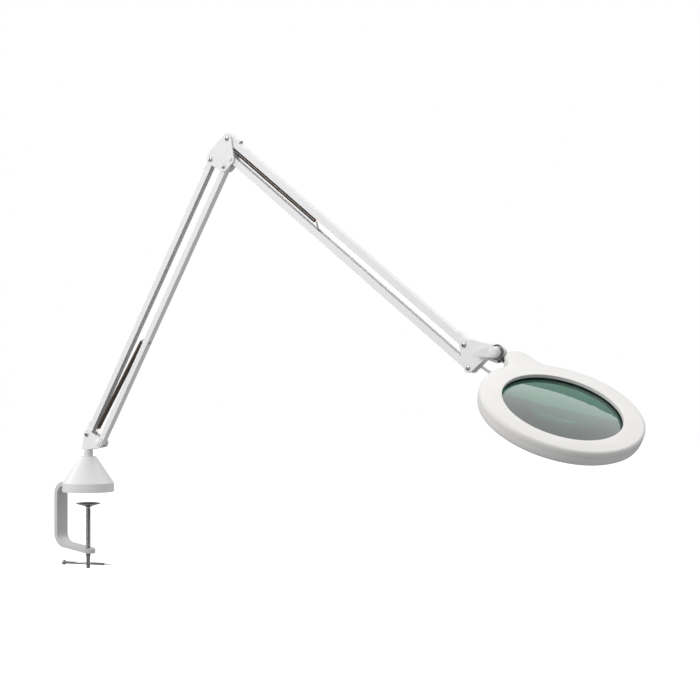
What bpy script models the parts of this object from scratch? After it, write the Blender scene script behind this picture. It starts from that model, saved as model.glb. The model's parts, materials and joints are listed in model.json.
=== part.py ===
"""Clamp-on magnifying lamp: table clamp, two sprung parallelogram arms, and a
round lens head with an LED ring.  Metres, +Z up.

Origin: on the axis of the base spigot and clamp screw, in the plane of the
clamp's fixed jaw, which is the top of the table.  The arms lie in the XZ
plane and reach towards +X.
"""
import bpy
import bmesh
import math
from mathutils import Matrix, Vector

for old in list(bpy.data.objects):
    bpy.data.objects.remove(old, do_unlink=True)

MM = 0.001
GAP = 0.3                      # running and seating gap between pieces, mm

# ---------------------------------------------------------------- sizes, mm
LOWER_ARM = 550.0              # pivot to pivot
UPPER_ARM = 590.0
LOWER_RISE = 57.03             # degrees above the horizontal at rest
UPPER_DROP = 35.03             # degrees below the horizontal at rest

BASE_FRONT_PIVOT = (4.8, 100.4)          # X, Z of the outer lower bar's pivot
BASE_PIVOTS = (29.8, -13.6)              # outer to inner lower bar pivot
ELBOW_LOWER_TO_UPPER = (37.0, 32.0)      # C to A
ELBOW_UPPER = (7.4, -34.3)               # A to B
HEAD_NOSE = (61.7, -11.1)                # A1 to the tilt axis

BAR_WIDE = 10.0                # across, along Y
BAR_SHEET = 0.9
LOWER_BAR_HIGH = 10.5
UPPER_BAR_HIGH = 11.5
PLATE_IN, PLATE_OUT = 5.6, 8.2           # side plates, distance from the XZ plane
PIVOT_R = 2.0
HOLE_R = 2.3

CLAMP_WIDE = 25.0
CLAMP_THICK = 7.8
CLAMP_SPINE_X = -70.9
CLAMP_TOP_Z = 12.0             # middle of the upper arm
CLAMP_LOW_Z = -102.4           # middle of the lower arm at the screw
CLAMP_LOW_SLOPE = 6.8          # degrees
JAW_R = 18.0
SCREW_R = 4.4
TOMMY_R = 2.2
TOMMY_Z = -125.6
TOMMY_TURN = 19.0              # degrees from +X
PAD_R = 21.75

CONE_SKIRT_R, CONE_SKIRT_Z = 45.1, 15.5
CONE_TOP_R, CONE_TOP_Z = 13.5, 62.0
CONE_WALL = 2.0

HEAD_R = 119.5                 # outside of the ring
LENS_OPENING_R = 87.5          # a 175 mm, seven inch lens
LENS_R = 91.0
HEAD_THICK = 24.0
BUMP_X, BUMP_R, BUMP_FILLET = -135.5, 21.0, 28.0
PARTING_Z = -8.0
NECK_FROM_TILT = (-2.5, -9.6)  # tilt axis to the neck's socket face, X and Z
NECK_SLOPE = 20.0              # degrees below the horizontal
NECK_LENGTH = 33.8             # socket face to the swivel pin
NECK_DEPTH = 15.8              # swivel pin's eye below the head's top face
HEAD_TILT, HEAD_YAW, HEAD_SPIN = 30.2, -26.0, 1.6
GLAND_X = -120.0               # lead entry, along the head's own axis
NECK_R = 3.5


# ------------------------------------------------------------- derived pivots
def add(p, q):
    return (p[0] + q[0], p[1] + q[1])


def along(p, angle, length):
    a = math.radians(angle)
    return (p[0] + length * math.cos(a), p[1] + length * math.sin(a))


C0 = BASE_FRONT_PIVOT
D0 = add(C0, BASE_PIVOTS)
C = along(C0, LOWER_RISE, LOWER_ARM)
D = add(C, BASE_PIVOTS)
A = add(C, ELBOW_LOWER_TO_UPPER)
B = add(A, ELBOW_UPPER)
A1 = along(A, -UPPER_DROP, UPPER_ARM)
B1 = add(A1, ELBOW_UPPER)
T = add(A1, HEAD_NOSE)
N0 = add(T, NECK_FROM_TILT)
P = along(N0, -NECK_SLOPE, NECK_LENGTH)


# ------------------------------------------------------------------ materials
def material(name, colour, roughness, metallic=0.0, transmission=0.0):
    mat = bpy.data.materials.new(name)
    mat.use_nodes = True
    bsdf = mat.node_tree.nodes["Principled BSDF"]
    bsdf.inputs["Base Color"].default_value = (*colour, 1.0)
    bsdf.inputs["Roughness"].default_value = roughness
    bsdf.inputs["Metallic"].default_value = metallic
    bsdf.inputs["Transmission Weight"].default_value = transmission
    return mat


LOOKS = {
    "white_paint": ((0.80, 0.80, 0.82), 0.38, 0.0),
    "white_shell": ((0.84, 0.84, 0.83), 0.42, 0.0),
    "grey_casting": ((0.72, 0.72, 0.71), 0.50, 0.0),
    "chrome": ((0.72, 0.72, 0.73), 0.16, 1.0),
    "nickel": ((0.55, 0.54, 0.52), 0.30, 1.0),
    "spring_steel": ((0.09, 0.075, 0.065), 0.42, 0.8),
    "black_rubber": ((0.03, 0.03, 0.03), 0.75, 0.0),
    "grey_lead": ((0.42, 0.43, 0.44), 0.50, 0.0),
    "lens_glass": ((0.55, 0.66, 0.60), 0.04, 0.0),
    "frosted_plastic": ((0.90, 0.90, 0.87), 0.60, 0.0),
    "circuit_board": ((0.80, 0.83, 0.80), 0.55, 0.0),
    "green_board": ((0.05, 0.25, 0.11), 0.55, 0.0),
    "nylon": ((0.76, 0.76, 0.74), 0.50, 0.0),
}


# -------------------------------------------------------------- mesh builders
def on(axis, a, b, c):
    """A point from two in-plane coordinates and one along the axis, in mm."""
    if axis == "Y":
        v = (a, c, b)
    elif axis == "Z":
        v = (a, b, c)
    else:
        v = (c, a, b)
    return Vector(v) * MM


def tidy(bm):
    bmesh.ops.remove_doubles(bm, verts=bm.verts, dist=2e-6)
    bmesh.ops.recalc_face_normals(bm, faces=bm.faces)
    return bm


def prism(loops, lo, hi, axis="Y"):
    """A flat outline, with any holes, given thickness along one axis."""
    bm = bmesh.new()
    edges = []
    for loop in loops:
        vs = [bm.verts.new(on(axis, p[0], p[1], lo)) for p in loop]
        edges += [bm.edges.new((vs[i], vs[(i + 1) % len(vs)])) for i in range(len(vs))]
    filled = bmesh.ops.triangle_fill(bm, use_beauty=True, edges=edges)["geom"]
    faces = [f for f in filled if isinstance(f, bmesh.types.BMFace)]
    grown = bmesh.ops.extrude_face_region(bm, geom=faces)["geom"]
    top = [v for v in grown if isinstance(v, bmesh.types.BMVert)]
    bmesh.ops.translate(bm, verts=top, vec=on(axis, 0, 0, hi - lo))
    return tidy(bm)


def lathe(profile, steps=24, axis="Z", at=(0, 0, 0)):
    """A closed profile of (radius, height) points turned about an axis."""
    bm = bmesh.new()
    vs = [bm.verts.new(Vector((r, 0, h)) * MM) for r, h in profile]
    es = [bm.edges.new((vs[i], vs[(i + 1) % len(vs)])) for i in range(len(vs))
          if not (profile[i][0] == 0 and profile[(i + 1) % len(vs)][0] == 0)]
    bmesh.ops.spin(bm, geom=vs + es, cent=(0, 0, 0), axis=(0, 0, 1),
                   angle=math.tau, steps=steps, use_merge=True)
    tidy(bm)
    if axis == "Y":
        bmesh.ops.rotate(bm, verts=bm.verts, matrix=Matrix.Rotation(math.radians(-90), 3, "X"))
    elif axis == "X":
        bmesh.ops.rotate(bm, verts=bm.verts, matrix=Matrix.Rotation(math.radians(90), 3, "Y"))
    bmesh.ops.translate(bm, verts=bm.verts, vec=Vector(at) * MM)
    return bm


def sweep(points, radii, sides=10):
    """A round bar of changing radius through points, with closed ends."""
    bm = bmesh.new()
    pts = [Vector(p) * MM for p in points]
    up = Vector((0, 1, 0))
    rings = []
    for i, p in enumerate(pts):
        t = (pts[min(i + 1, len(pts) - 1)] - pts[max(i - 1, 0)]).normalized()
        a = t.cross(up).normalized()
        b = t.cross(a).normalized()
        r = radii[i] * MM
        rings.append([bm.verts.new(p + a * r * math.cos(math.tau * k / sides)
                                   + b * r * math.sin(math.tau * k / sides))
                      for k in range(sides)])
    for lower, upper in zip(rings, rings[1:]):
        for k in range(sides):
            bm.faces.new((lower[k], lower[(k + 1) % sides], upper[(k + 1) % sides], upper[k]))
    bm.faces.new(rings[0])
    bm.faces.new(rings[-1])
    return tidy(bm)


def loft(sections):
    """A closed ring of sections, each a loop of 3-D points in mm."""
    bm = bmesh.new()
    rows = [[bm.verts.new(Vector(p) * MM) for p in s] for s in sections]
    for row, nxt in zip(rows, rows[1:] + rows[:1]):
        for k in range(len(row)):
            j = (k + 1) % len(row)
            bm.faces.new((row[k], row[j], nxt[j], nxt[k]))
    return tidy(bm)


def circle(x, y, r, n=16, start=0.0):
    return [(x + r * math.cos(start + math.tau * k / n),
             y + r * math.sin(start + math.tau * k / n)) for k in range(n)]


def box(x0, x1, y0, y1):
    return [(x0, y0), (x1, y0), (x1, y1), (x0, y1)]


def hull(*shapes):
    """Convex outline round some points."""
    pts = sorted(set((round(x, 5), round(y, 5)) for s in shapes for x, y in s))

    def half(seq):
        out = []
        for p in seq:
            while len(out) > 1 and ((out[-1][0] - out[-2][0]) * (p[1] - out[-2][1])
                                    - (out[-1][1] - out[-2][1]) * (p[0] - out[-2][0])) <= 1e-9:
                out.pop()
            out.append(p)
        return out[:-1]
    return half(pts) + half(reversed(pts))


def ribbon(line, half):
    """A strip of constant thickness round a centre line."""
    left, right = [], []
    for i, p in enumerate(line):
        q0, q1 = line[max(i - 1, 0)], line[min(i + 1, len(line) - 1)]
        dx, dy = q1[0] - q0[0], q1[1] - q0[1]
        d = math.hypot(dx, dy)
        nx, ny = -dy / d, dx / d
        left.append((p[0] + nx * half, p[1] + ny * half))
        right.append((p[0] - nx * half, p[1] - ny * half))
    return left + right[::-1]


def bend(cx, cy, r, a0, a1, n=8):
    return [(cx + r * math.cos(math.radians(a0 + (a1 - a0) * k / n)),
             cy + r * math.sin(math.radians(a0 + (a1 - a0) * k / n))) for k in range(n + 1)]


def shift(bm, x=0.0, y=0.0, z=0.0):
    bmesh.ops.translate(bm, verts=bm.verts, vec=Vector((x, y, z)) * MM)
    return bm


# -------------------------------------------------------------------- objects
MATS = {}


def empty(name, location, rotation=(0, 0, 0)):
    """A joint axis: pieces of one moving body hang from it."""
    e = bpy.data.objects.new(name, None)
    bpy.context.scene.collection.objects.link(e)
    e.location = Vector(location) * MM
    e.rotation_euler = [math.radians(a) for a in rotation]
    return e


def as_object(name, bm):
    mesh = bpy.data.meshes.new(name)
    bm.to_mesh(mesh)
    bm.free()
    obj = bpy.data.objects.new(name, mesh)
    bpy.context.scene.collection.objects.link(obj)
    return obj


def combine(bm, others, operation):
    """Join, cut or intersect one solid with others."""
    base = as_object("work", bm)
    for other in others:
        tool = as_object("tool", other)
        mod = base.modifiers.new("shape", "BOOLEAN")
        mod.operation = operation
        mod.object = tool
        mod.solver = "EXACT"
        bpy.context.view_layer.update()
        done = bpy.data.meshes.new_from_object(
            base.evaluated_get(bpy.context.evaluated_depsgraph_get()))
        base.modifiers.clear()
        base.data = done
        bpy.data.objects.remove(tool, do_unlink=True)
    out = bmesh.new()
    out.from_mesh(base.data)
    bpy.data.objects.remove(base, do_unlink=True)
    return out


def piece(name, bm, look, parent=None, at=(0, 0, 0), sharp=32.0):
    obj = as_object(name, bm)
    colour, rough, metal = LOOKS[look]
    obj.data.materials.append(material(name, colour, rough, metal,
                                       0.9 if look == "lens_glass" else 0.0))
    obj.data.shade_smooth()
    obj.data.set_sharp_from_angle(angle=math.radians(sharp))
    obj.parent = parent
    obj.location = Vector(at) * MM
    return obj


# ==================================================================== clamp
root = empty("axis_base", (0, 0, 0))

# The clamp is one flat bar bent to a C, rounded at both ends about the screw.
half_t = CLAMP_THICK / 2
top_bend, low_bend = 19.0, 22.0
slope = math.radians(CLAMP_LOW_SLOPE)
top_c = (CLAMP_SPINE_X + top_bend, CLAMP_TOP_Z - top_bend)
low_cx = CLAMP_SPINE_X + low_bend
foot_x = low_cx - low_bend * math.sin(slope)
foot_z = CLAMP_LOW_Z - math.tan(slope) * foot_x
low_c = (low_cx, foot_z + low_bend * math.cos(slope))
centre = [(CLAMP_WIDE, CLAMP_TOP_Z), (-20.0, CLAMP_TOP_Z)]
centre += bend(top_c[0], top_c[1], top_bend, 90, 180)
centre += bend(low_c[0], low_c[1], low_bend, 180, 270 - CLAMP_LOW_SLOPE)
centre += [(CLAMP_WIDE, CLAMP_LOW_Z - math.tan(slope) * CLAMP_WIDE)]
hw = CLAMP_WIDE / 2
frame = prism([ribbon(centre, half_t)], -CLAMP_WIDE, CLAMP_WIDE, "Y")
plan = [(-90, -hw), (0, -hw)] + bend(0, 0, hw, -90, 90, 12)[1:-1] + [(0, hw), (-90, hw)]
frame = combine(frame, [prism([plan], -140, 40, "Z")], "INTERSECT")
jaw = lathe([(0, 0), (JAW_R - 0.8, 0), (JAW_R, 0.8), (JAW_R, 9.2), (0, 9.2)], 24)
frame = combine(frame, [jaw], "UNION")
frame = combine(frame, [lathe([(0, -130), (SCREW_R + GAP, -130), (SCREW_R + GAP, -80), (0, -80)], 20)],
                "DIFFERENCE")
piece("clamp_frame", frame, "grey_casting", root)

# Base cover: a straight skirt and a hollow cone, notched for the clamp arm.
flare = (CONE_SKIRT_R - CONE_TOP_R) / (CONE_TOP_Z - CONE_SKIRT_Z)
w = CONE_WALL
cone = lathe([(CONE_SKIRT_R, 0), (CONE_SKIRT_R, CONE_SKIRT_Z - 1.0),
              (CONE_SKIRT_R - 0.5, CONE_SKIRT_Z + 0.6),
              (CONE_TOP_R + 0.8, CONE_TOP_Z - 1.0), (CONE_TOP_R, CONE_TOP_Z),
              (7.4, CONE_TOP_Z), (7.4, CONE_TOP_Z - w - 1.0),
              (CONE_TOP_R - 2.0, CONE_TOP_Z - w - 1.0),
              (CONE_SKIRT_R - w, CONE_SKIRT_Z - 1.0), (CONE_SKIRT_R - w, 0)], 32)
notch = prism([box(-60, -30, -(hw + 0.6), hw + 0.6)], -5, CLAMP_TOP_Z + half_t + 0.6, "Z")
cone = combine(cone, [notch], "DIFFERENCE")
piece("base_cone", cone, "white_shell", root)

# Nylon socket for the spigot, standing on the clamp arm, its collar on the cone.
piece("socket_bushing", lathe([
    (5.3, CLAMP_TOP_Z + half_t + GAP), (7.1, CLAMP_TOP_Z + half_t + GAP), (7.1, CONE_TOP_Z + GAP),
    (8.3, CONE_TOP_Z + GAP), (8.3, 67.4), (7.9, 67.8), (5.3, 67.8)], 20), "nylon", root)

# ------------------------------------------------------- pad, screw, tommy bar
travel = empty("axis_clamp_travel", (0, 0, -19.5))
piece("clamp_pad", lathe([
    (0, -2.0), (16.3, -2.0), (16.3, 0.0), (PAD_R - 1.0, -0.4), (PAD_R, -1.0), (PAD_R, -1.7),
    (12.0, -4.4), (6.6, -6.2), (5.6, -7.2), (3.9, -7.2), (3.9, -4.2), (0, -4.2)], 24),
    "chrome", travel)
piece("pad_insert", lathe([(0, -1.7), (16.0, -1.7), (16.0, -0.3), (15.4, 0.1), (0, 0.1)], 24),
      "black_rubber", travel)

turn = empty("axis_screw_turn", (0, 0, -19.5 - 4.5))
z0 = -24.0
screw = lathe([(0, -24.1 - z0), (3.0, -24.1 - z0), (3.5, -24.6 - z0), (3.5, -28.6 - z0),
               (SCREW_R, -30.0 - z0), (SCREW_R, -113.6 - z0),
               (3.9, -114.5 - z0), (3.3, -115.2 - z0),
               (3.3, -133.2 - z0), (2.7, -134.0 - z0), (0, -134.2 - z0)], 16)
direction = Vector((math.cos(math.radians(TOMMY_TURN)), math.sin(math.radians(TOMMY_TURN)), 0))
drill = lathe([(0, -20), (TOMMY_R + 0.3, -20), (TOMMY_R + 0.3, 20), (0, 20)], 16, "X")
bmesh.ops.rotate(drill, verts=drill.verts, matrix=Matrix.Rotation(math.radians(TOMMY_TURN), 3, "Z"))
shift(drill, 0, 0, TOMMY_Z - z0)
piece("clamp_screw", combine(screw, [drill], "DIFFERENCE"), "chrome", turn)

slide = empty("axis_tommy_slide", (0, 0, TOMMY_Z), (0, 0, TOMMY_TURN))
knob = [(4.35 * math.sin(math.radians(a)), -47.8 - 4.35 * math.cos(math.radians(a)))
        for a in range(0, 141, 28)]
bar = [(0, knob[0][1])] + knob[1:] + [(TOMMY_R, -43.6), (TOMMY_R, 28.6), (2.6, 29.4), (2.6, 31.0),
                                      (1.2, 32.4), (0.8, 42.4), (0, 42.9)]
piece("tommy_bar", lathe(bar, 16, "X"), "chrome", slide)

# ================================================================ base yoke
yoke_axis = empty("axis_base_swivel", (0, 0, 0))
cheek = hull(circle(C0[0], C0[1], 7.8, 24), circle(D0[0], D0[1], 8.6, 24),
             [(-6.5, 78.0), (8.3, 74.0), (-8.0, 73.0)])
yoke = prism([cheek, circle(*C0, HOLE_R, 12), circle(*D0, HOLE_R, 12)], -PLATE_OUT, PLATE_OUT)
yoke = combine(yoke, [prism([box(-40, 70, 78.5, 130)], -PLATE_IN, PLATE_IN)], "DIFFERENCE")
stem = lathe([(0, 17.5), (4.2, 17.5), (5.0, 18.6), (5.0, 68.1), (8.3, 68.1), (8.3, 77.0), (0, 77.0)], 20)
yoke = combine(yoke, [stem], "UNION")
piece("base_yoke", yoke, "white_paint", yoke_axis)


def screw_and_nut(name, at, body, origin, head_look="nickel", head_r=4.3, head_t=1.9):
    """A pivot screw through both side plates, and the nut behind it."""
    y = PLATE_OUT + GAP
    x, z = at[0] - origin[0], at[1] - origin[1]
    piece(name + "_screw", lathe([
        (0, -y - head_t), (head_r * 0.62, -y - head_t), (head_r, -y - head_t * 0.55), (head_r, -y),
        (PIVOT_R, -y), (PIVOT_R, y + 3.4), (PIVOT_R - 0.5, y + 3.9), (0, y + 3.9)], 12, "Y"),
        head_look, body, (x, 0, z))
    piece(name + "_nut", prism([circle(0, 0, 4.2, 6), circle(0, 0, HOLE_R, 12)], y, y + 3.0),
          "nickel", body, (x, 0, z))


def rivet(name, at, body, origin, look="nickel", head_r=4.0, head_t=1.5):
    """A shouldered rivet, closed on both sides of the plates."""
    y = PLATE_OUT + GAP
    piece(name, lathe([
        (0, -y - head_t), (head_r * 0.6, -y - head_t), (head_r, -y - head_t * 0.4), (head_r, -y),
        (PIVOT_R, -y), (PIVOT_R, y), (4.0, y), (4.0, y + 0.7), (2.6, y + 1.5), (0, y + 1.5)], 12, "Y"),
        look, body, (at[0] - origin[0], 0, at[1] - origin[1]))


screw_and_nut("base_pivot", C0, yoke_axis, (0, 0))
rivet("base_boss_rivet", D0, yoke_axis, (0, 0), "white_paint", 6.2, 2.4)
LOWER_SPRING_PIN = ((C0[0] + D0[0]) / 2, (C0[1] + D0[1]) / 2)
piece("lower_spring_pin", lathe([(0, -5.3), (1.5, -5.3), (1.5, 5.3), (0, 5.3)], 12, "Y"), "nickel",
      yoke_axis, (LOWER_SPRING_PIN[0], 0, LOWER_SPRING_PIN[1]))


# =============================================================== arm bars
def channel(length, high, side, stud=None):
    """A pressed U channel with round ends, open away from `side`."""
    r = high / 2
    outline = hull(circle(0, 0, r, 16), circle(length, 0, r, 16))
    bm = prism([outline, circle(0, 0, HOLE_R, 10), circle(length, 0, HOLE_R, 10)],
               -BAR_WIDE / 2, BAR_WIDE / 2)
    w = BAR_WIDE / 2 - BAR_SHEET
    floor_z = side * (r - BAR_SHEET)
    z = sorted((floor_z, -side * 40))
    cuts = [prism([box(-30, length + 30, z[0], z[1])], -w, w)]
    if stud:
        cuts.append(lathe([(0, -12), (1.9, -12), (1.9, 12), (0, 12)], 12, "Z", (stud, 0, side * r)))
    return combine(bm, cuts, "DIFFERENCE")


def hood(high, rise, side, start, end):
    """A half-round cover on the outside of a bar, open at its ends."""
    half = BAR_WIDE / 2
    base = high / 2 + GAP
    t = 0.9
    n = 8
    outer = [(half * math.cos(math.pi * k / n), side * (base + rise * math.sin(math.pi * k / n)))
             for k in range(n + 1)]
    inner = [((half - t) * math.cos(math.pi * k / n),
              side * (base + (rise - t) * math.sin(math.pi * k / n))) for k in range(n, -1, -1)]
    return prism([outer + inner], start, end, "X")


def stud(high, side, reach):
    """The spring's anchor, through the bar's web."""
    r = high / 2
    w = r - BAR_SHEET - GAP
    prof = [(0, r + 1.5), (1.9, r + 1.5), (2.7, r + 0.8), (2.7, r + GAP), (1.5, r + GAP),
            (1.5, -reach), (0, -reach)]
    if side < 0:
        prof = [(a, -b) for a, b in prof]
    return lathe(prof, 12)


lower_turn, upper_turn = -LOWER_RISE, UPPER_DROP
LOWER_STUD = 208.8             # along the inner bar
UPPER_STUD = 224.3             # along the bottom bar

outer_axis = empty("axis_lower_tilt", (C0[0], 0, C0[1]), (0, lower_turn, 0))
piece("lower_outer_bar", channel(LOWER_ARM, LOWER_BAR_HIGH, 1), "white_paint", outer_axis)
piece("lower_base_hood", hood(LOWER_BAR_HIGH, 5.6, 1, 1.0, 19.5), "white_paint", outer_axis)
piece("lower_elbow_hood", hood(LOWER_BAR_HIGH, 5.6, 1, LOWER_ARM - 26.0, LOWER_ARM - 8.0),
      "white_paint", outer_axis)

inner_axis = empty("axis_lower_link", (D0[0], 0, D0[1]), (0, lower_turn, 0))
piece("lower_inner_bar", channel(LOWER_ARM, LOWER_BAR_HIGH, -1, LOWER_STUD), "white_paint", inner_axis)
piece("lower_spring_stud", stud(LOWER_BAR_HIGH, -1, 6.5), "nickel", inner_axis, (LOWER_STUD, 0, 0))


def arm_point(origin, angle, x, z):
    """World X, Z of a point measured along and across an arm."""
    a = math.radians(angle)
    return (origin[0] + x * math.cos(a) - z * math.sin(a), origin[1] + x * math.sin(a) + z * math.cos(a))


def arm_local(origin, angle, p):
    a = math.radians(angle)
    dx, dz = p[0] - origin[0], p[1] - origin[1]
    return (dx * math.cos(a) + dz * math.sin(a), 0.0, -dx * math.sin(a) + dz * math.cos(a))


def spring(route, coil_r, wire_r, ends):
    """A tension spring as one bar: hook, coil body, hook."""
    (hx, hz), (sx, sz), (ex, ez), (kx, kz) = route
    L = math.hypot(ex - sx, ez - sz)
    ux, uz = (ex - sx) / L, (ez - sz) / L
    pts, rad = [(hx, 0, hz)], [wire_r]
    for d, r in ((0.0, wire_r), (0.6, coil_r), (L - 0.6, coil_r), (L, wire_r)):
        pts.append((sx + ux * d, 0, sz + uz * d))
        rad.append(r)
    pts.append((kx, 0, kz))
    rad.append(wire_r)
    return sweep(pts, rad, 10)


# Lower spring: from the pin in the yoke up to the inner bar.
p_start = arm_local(D0, LOWER_RISE, arm_point(C0, LOWER_RISE, 17.5, -11.1))
p_end = arm_local(D0, LOWER_RISE, arm_point(C0, LOWER_RISE, 209.0, -21.4))
p_pin = arm_local(D0, LOWER_RISE, LOWER_SPRING_PIN)
dx, dz = p_start[0] - p_pin[0], p_start[2] - p_pin[2]
d = math.hypot(dx, dz)
hook0 = (p_pin[0] + dx / d * 2.8, p_pin[2] + dz / d * 2.8)
piece("lower_spring", spring((hook0, (p_start[0], p_start[2]), (p_end[0], p_end[2]),
                              (LOWER_STUD + 1.0, 7.9)), 4.0, 0.8, None),
      "spring_steel", inner_axis)

# ==================================================================== elbow
elbow = empty("axis_elbow", (C[0], 0, C[1]))
plate = hull(circle(*C, 8.6, 20), circle(C[0] + 1.5, C[1] + 8.2, 6.0, 20), circle(*D, 8.6, 20), circle(*B, 8.2, 20), circle(*A, 8.6, 20))
plate = [(x - C[0], z - C[1]) for x, z in plate]
holes = [circle(p[0] - C[0], p[1] - C[1], HOLE_R, 12) for p in (A, B, C, D)]
piece("elbow_front_plate", prism([plate] + holes, -PLATE_OUT, -PLATE_IN), "white_paint", elbow)
piece("elbow_rear_plate", prism([plate] + holes, PLATE_IN, PLATE_OUT), "white_paint", elbow)
screw_and_nut("elbow_pivot_c", C, elbow, C)
rivet("elbow_rivet_d", D, elbow, C)
screw_and_nut("elbow_pivot_a", A, elbow, C)
rivet("elbow_rivet_b", B, elbow, C)
UPPER_SPRING_PIN = ((A[0] + B[0]) / 2, (A[1] + B[1]) / 2)
piece("upper_spring_pin", lathe([(0, -5.3), (1.5, -5.3), (1.5, 5.3), (0, 5.3)], 12, "Y"), "nickel",
      elbow, (UPPER_SPRING_PIN[0] - C[0], 0, UPPER_SPRING_PIN[1] - C[1]))

top_axis = empty("axis_upper_tilt", (A[0], 0, A[1]), (0, upper_turn, 0))
piece("upper_top_bar", channel(UPPER_ARM, UPPER_BAR_HIGH, 1), "white_paint", top_axis)
piece("upper_elbow_hood", hood(UPPER_BAR_HIGH, 4.8, 1, 5.0, 25.0), "white_paint", top_axis)
piece("upper_head_hood", hood(UPPER_BAR_HIGH, 3.6, 1, UPPER_ARM - 24.0, UPPER_ARM + 2.5),
      "white_paint", top_axis)

bottom_axis = empty("axis_upper_link", (B[0], 0, B[1]), (0, upper_turn, 0))
piece("upper_bottom_bar", channel(UPPER_ARM, UPPER_BAR_HIGH, -1, UPPER_STUD), "white_paint", bottom_axis)
piece("upper_spring_stud", stud(UPPER_BAR_HIGH, -1, 1.5), "nickel", bottom_axis, (UPPER_STUD, 0, 0))

p_start = arm_local(B, -UPPER_DROP, arm_point(A, -UPPER_DROP, 22.5, -10.4))
p_end = arm_local(B, -UPPER_DROP, arm_point(A, -UPPER_DROP, 236.0, -10.4))
p_pin = arm_local(B, -UPPER_DROP, UPPER_SPRING_PIN)
dx, dz = p_start[0] - p_pin[0], p_start[2] - p_pin[2]
d = math.hypot(dx, dz)
hook0 = (p_pin[0] + dx / d * 2.8, p_pin[2] + dz / d * 2.8)
piece("upper_spring", spring((hook0, (p_start[0], p_start[2]), (p_end[0], p_end[2]),
                              (UPPER_STUD, 2.9)), 3.7, 0.8, None),
      "spring_steel", bottom_axis)

# ============================================================ head bracket
bracket = empty("axis_head_level", (A1[0], 0, A1[1]))
side = hull(circle(*A1, 8.5, 20), circle(*B1, 7.6, 20), circle(T[0] - 7.0, T[1] + 7.0, 4.0, 16))
side = [(x - A1[0], z - A1[1]) for x, z in side]


# The front plate has a round nose that carries the tilt bolt; the rear plate
# stops short of it, so that the swivel block can be put in from behind.
front = prism([side], -PLATE_OUT, -PLATE_IN)
front = combine(front, [prism([circle(T[0] - A1[0], T[1] - A1[1], 8.6, 28)], -PLATE_OUT, -PLATE_IN)], "UNION")
drills = [prism([circle(p[0] - A1[0], p[1] - A1[1], r, 14)], -PLATE_OUT - 2, -PLATE_IN + 2)
          for p, r in ((A1, HOLE_R), (B1, HOLE_R), (T, 3.3))]
piece("bracket_front_plate", combine(front, drills, "DIFFERENCE"), "white_paint", bracket)
back_side = hull(circle(*A1, 8.5, 20), circle(*B1, 7.6, 20), circle(T[0] - 15.0, T[1] + 5.0, 4.0, 16))
back_side = [(x - A1[0], z - A1[1]) for x, z in back_side]
holes = [circle(p[0] - A1[0], p[1] - A1[1], HOLE_R, 12) for p in (A1, B1)]
piece("bracket_rear_plate", prism([back_side] + holes, PLATE_IN, PLATE_OUT), "white_paint", bracket)
screw_and_nut("head_pivot", A1, bracket, A1)
rivet("head_rivet", B1, bracket, A1)
tx, tz = T[0] - A1[0], T[1] - A1[1]
piece("tilt_bolt", lathe([
    (0, -20.5), (2.4, -20.5), (3.0, -19.9), (3.0, 5.6), (5.2, 5.6), (5.2, 7.6), (4.4, 8.4), (0, 8.4)],
    16, "Y"), "chrome", bracket, (tx, 0, tz))
piece("tilt_washer", lathe([(3.3, -10.4), (11.3, -10.4), (11.9, -9.9), (11.9, -8.5), (3.3, -8.5)],
                           32, "Y"), "chrome", bracket, (tx, 0, tz))

# Wing knob on the front of the tilt bolt.
knob_axis = empty("axis_tilt_knob", (T[0], 0, T[1]))
hub = lathe([(3.3, -10.8), (7.6, -10.8), (8.4, -11.6), (8.6, -17.5), (7.6, -20.9), (4.8, -22.2),
             (0, -22.4), (0, -20.9), (3.3, -20.9)], 20, "Y")
wing = prism([hull(circle(0, 0, 7.8, 20), circle(-12.0, 1.2, 6.6, 16), circle(-34.2, -3.6, 2.6, 14))],
             -21.0, -14.5)
piece("wing_knob", combine(hub, [combine(wing, [lathe([(0, -20.9), (4.5, -20.9), (4.5, -10), (0, -10)], 16, "Y")],
                                         "DIFFERENCE")], "UNION"), "white_shell", knob_axis)

# Swivel block: turns on the tilt bolt and takes the neck.
block_axis = empty("axis_head_tilt", (T[0], 0, T[1]))
nx, nz = NECK_FROM_TILT


def neck_xz(x, z):
    """Along and across the neck, from its socket face, seen from the tilt axis."""
    a = math.radians(NECK_SLOPE)
    return (nx + x * math.cos(a) + z * math.sin(a), nz - x * math.sin(a) + z * math.cos(a))


block = prism([hull(circle(0, 0, 7.2, 24), [neck_xz(0, 6.4), neck_xz(0, -6.6), neck_xz(-0.8, -7.0),
                                            neck_xz(-15.0, -7.6), neck_xz(-16.0, -6.6), neck_xz(-16.0, 4.0)]),
               circle(0, 0, 3.3, 14)], -5.3, 5.3)
socket = lathe([(0, -12.5), (NECK_R + GAP, -12.5), (NECK_R + GAP, 0), (5.6, 0), (5.6, 20), (0, 20)], 16, "X")
bmesh.ops.rotate(socket, verts=socket.verts, matrix=Matrix.Rotation(math.radians(NECK_SLOPE), 3, "Y"))
shift(socket, nx, 0, nz)
piece("swivel_block", combine(block, [socket], "DIFFERENCE"), "white_shell", block_axis)
collar = lathe([(NECK_R + GAP, 0.3), (5.2, 0.3), (5.2, 1.9), (4.8, 2.3), (NECK_R + GAP, 2.3)], 20, "X")
bmesh.ops.rotate(collar, verts=collar.verts, matrix=Matrix.Rotation(math.radians(NECK_SLOPE), 3, "Y"))
piece("neck_washer", collar, "black_rubber", block_axis, (nx, 0, nz))

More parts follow.
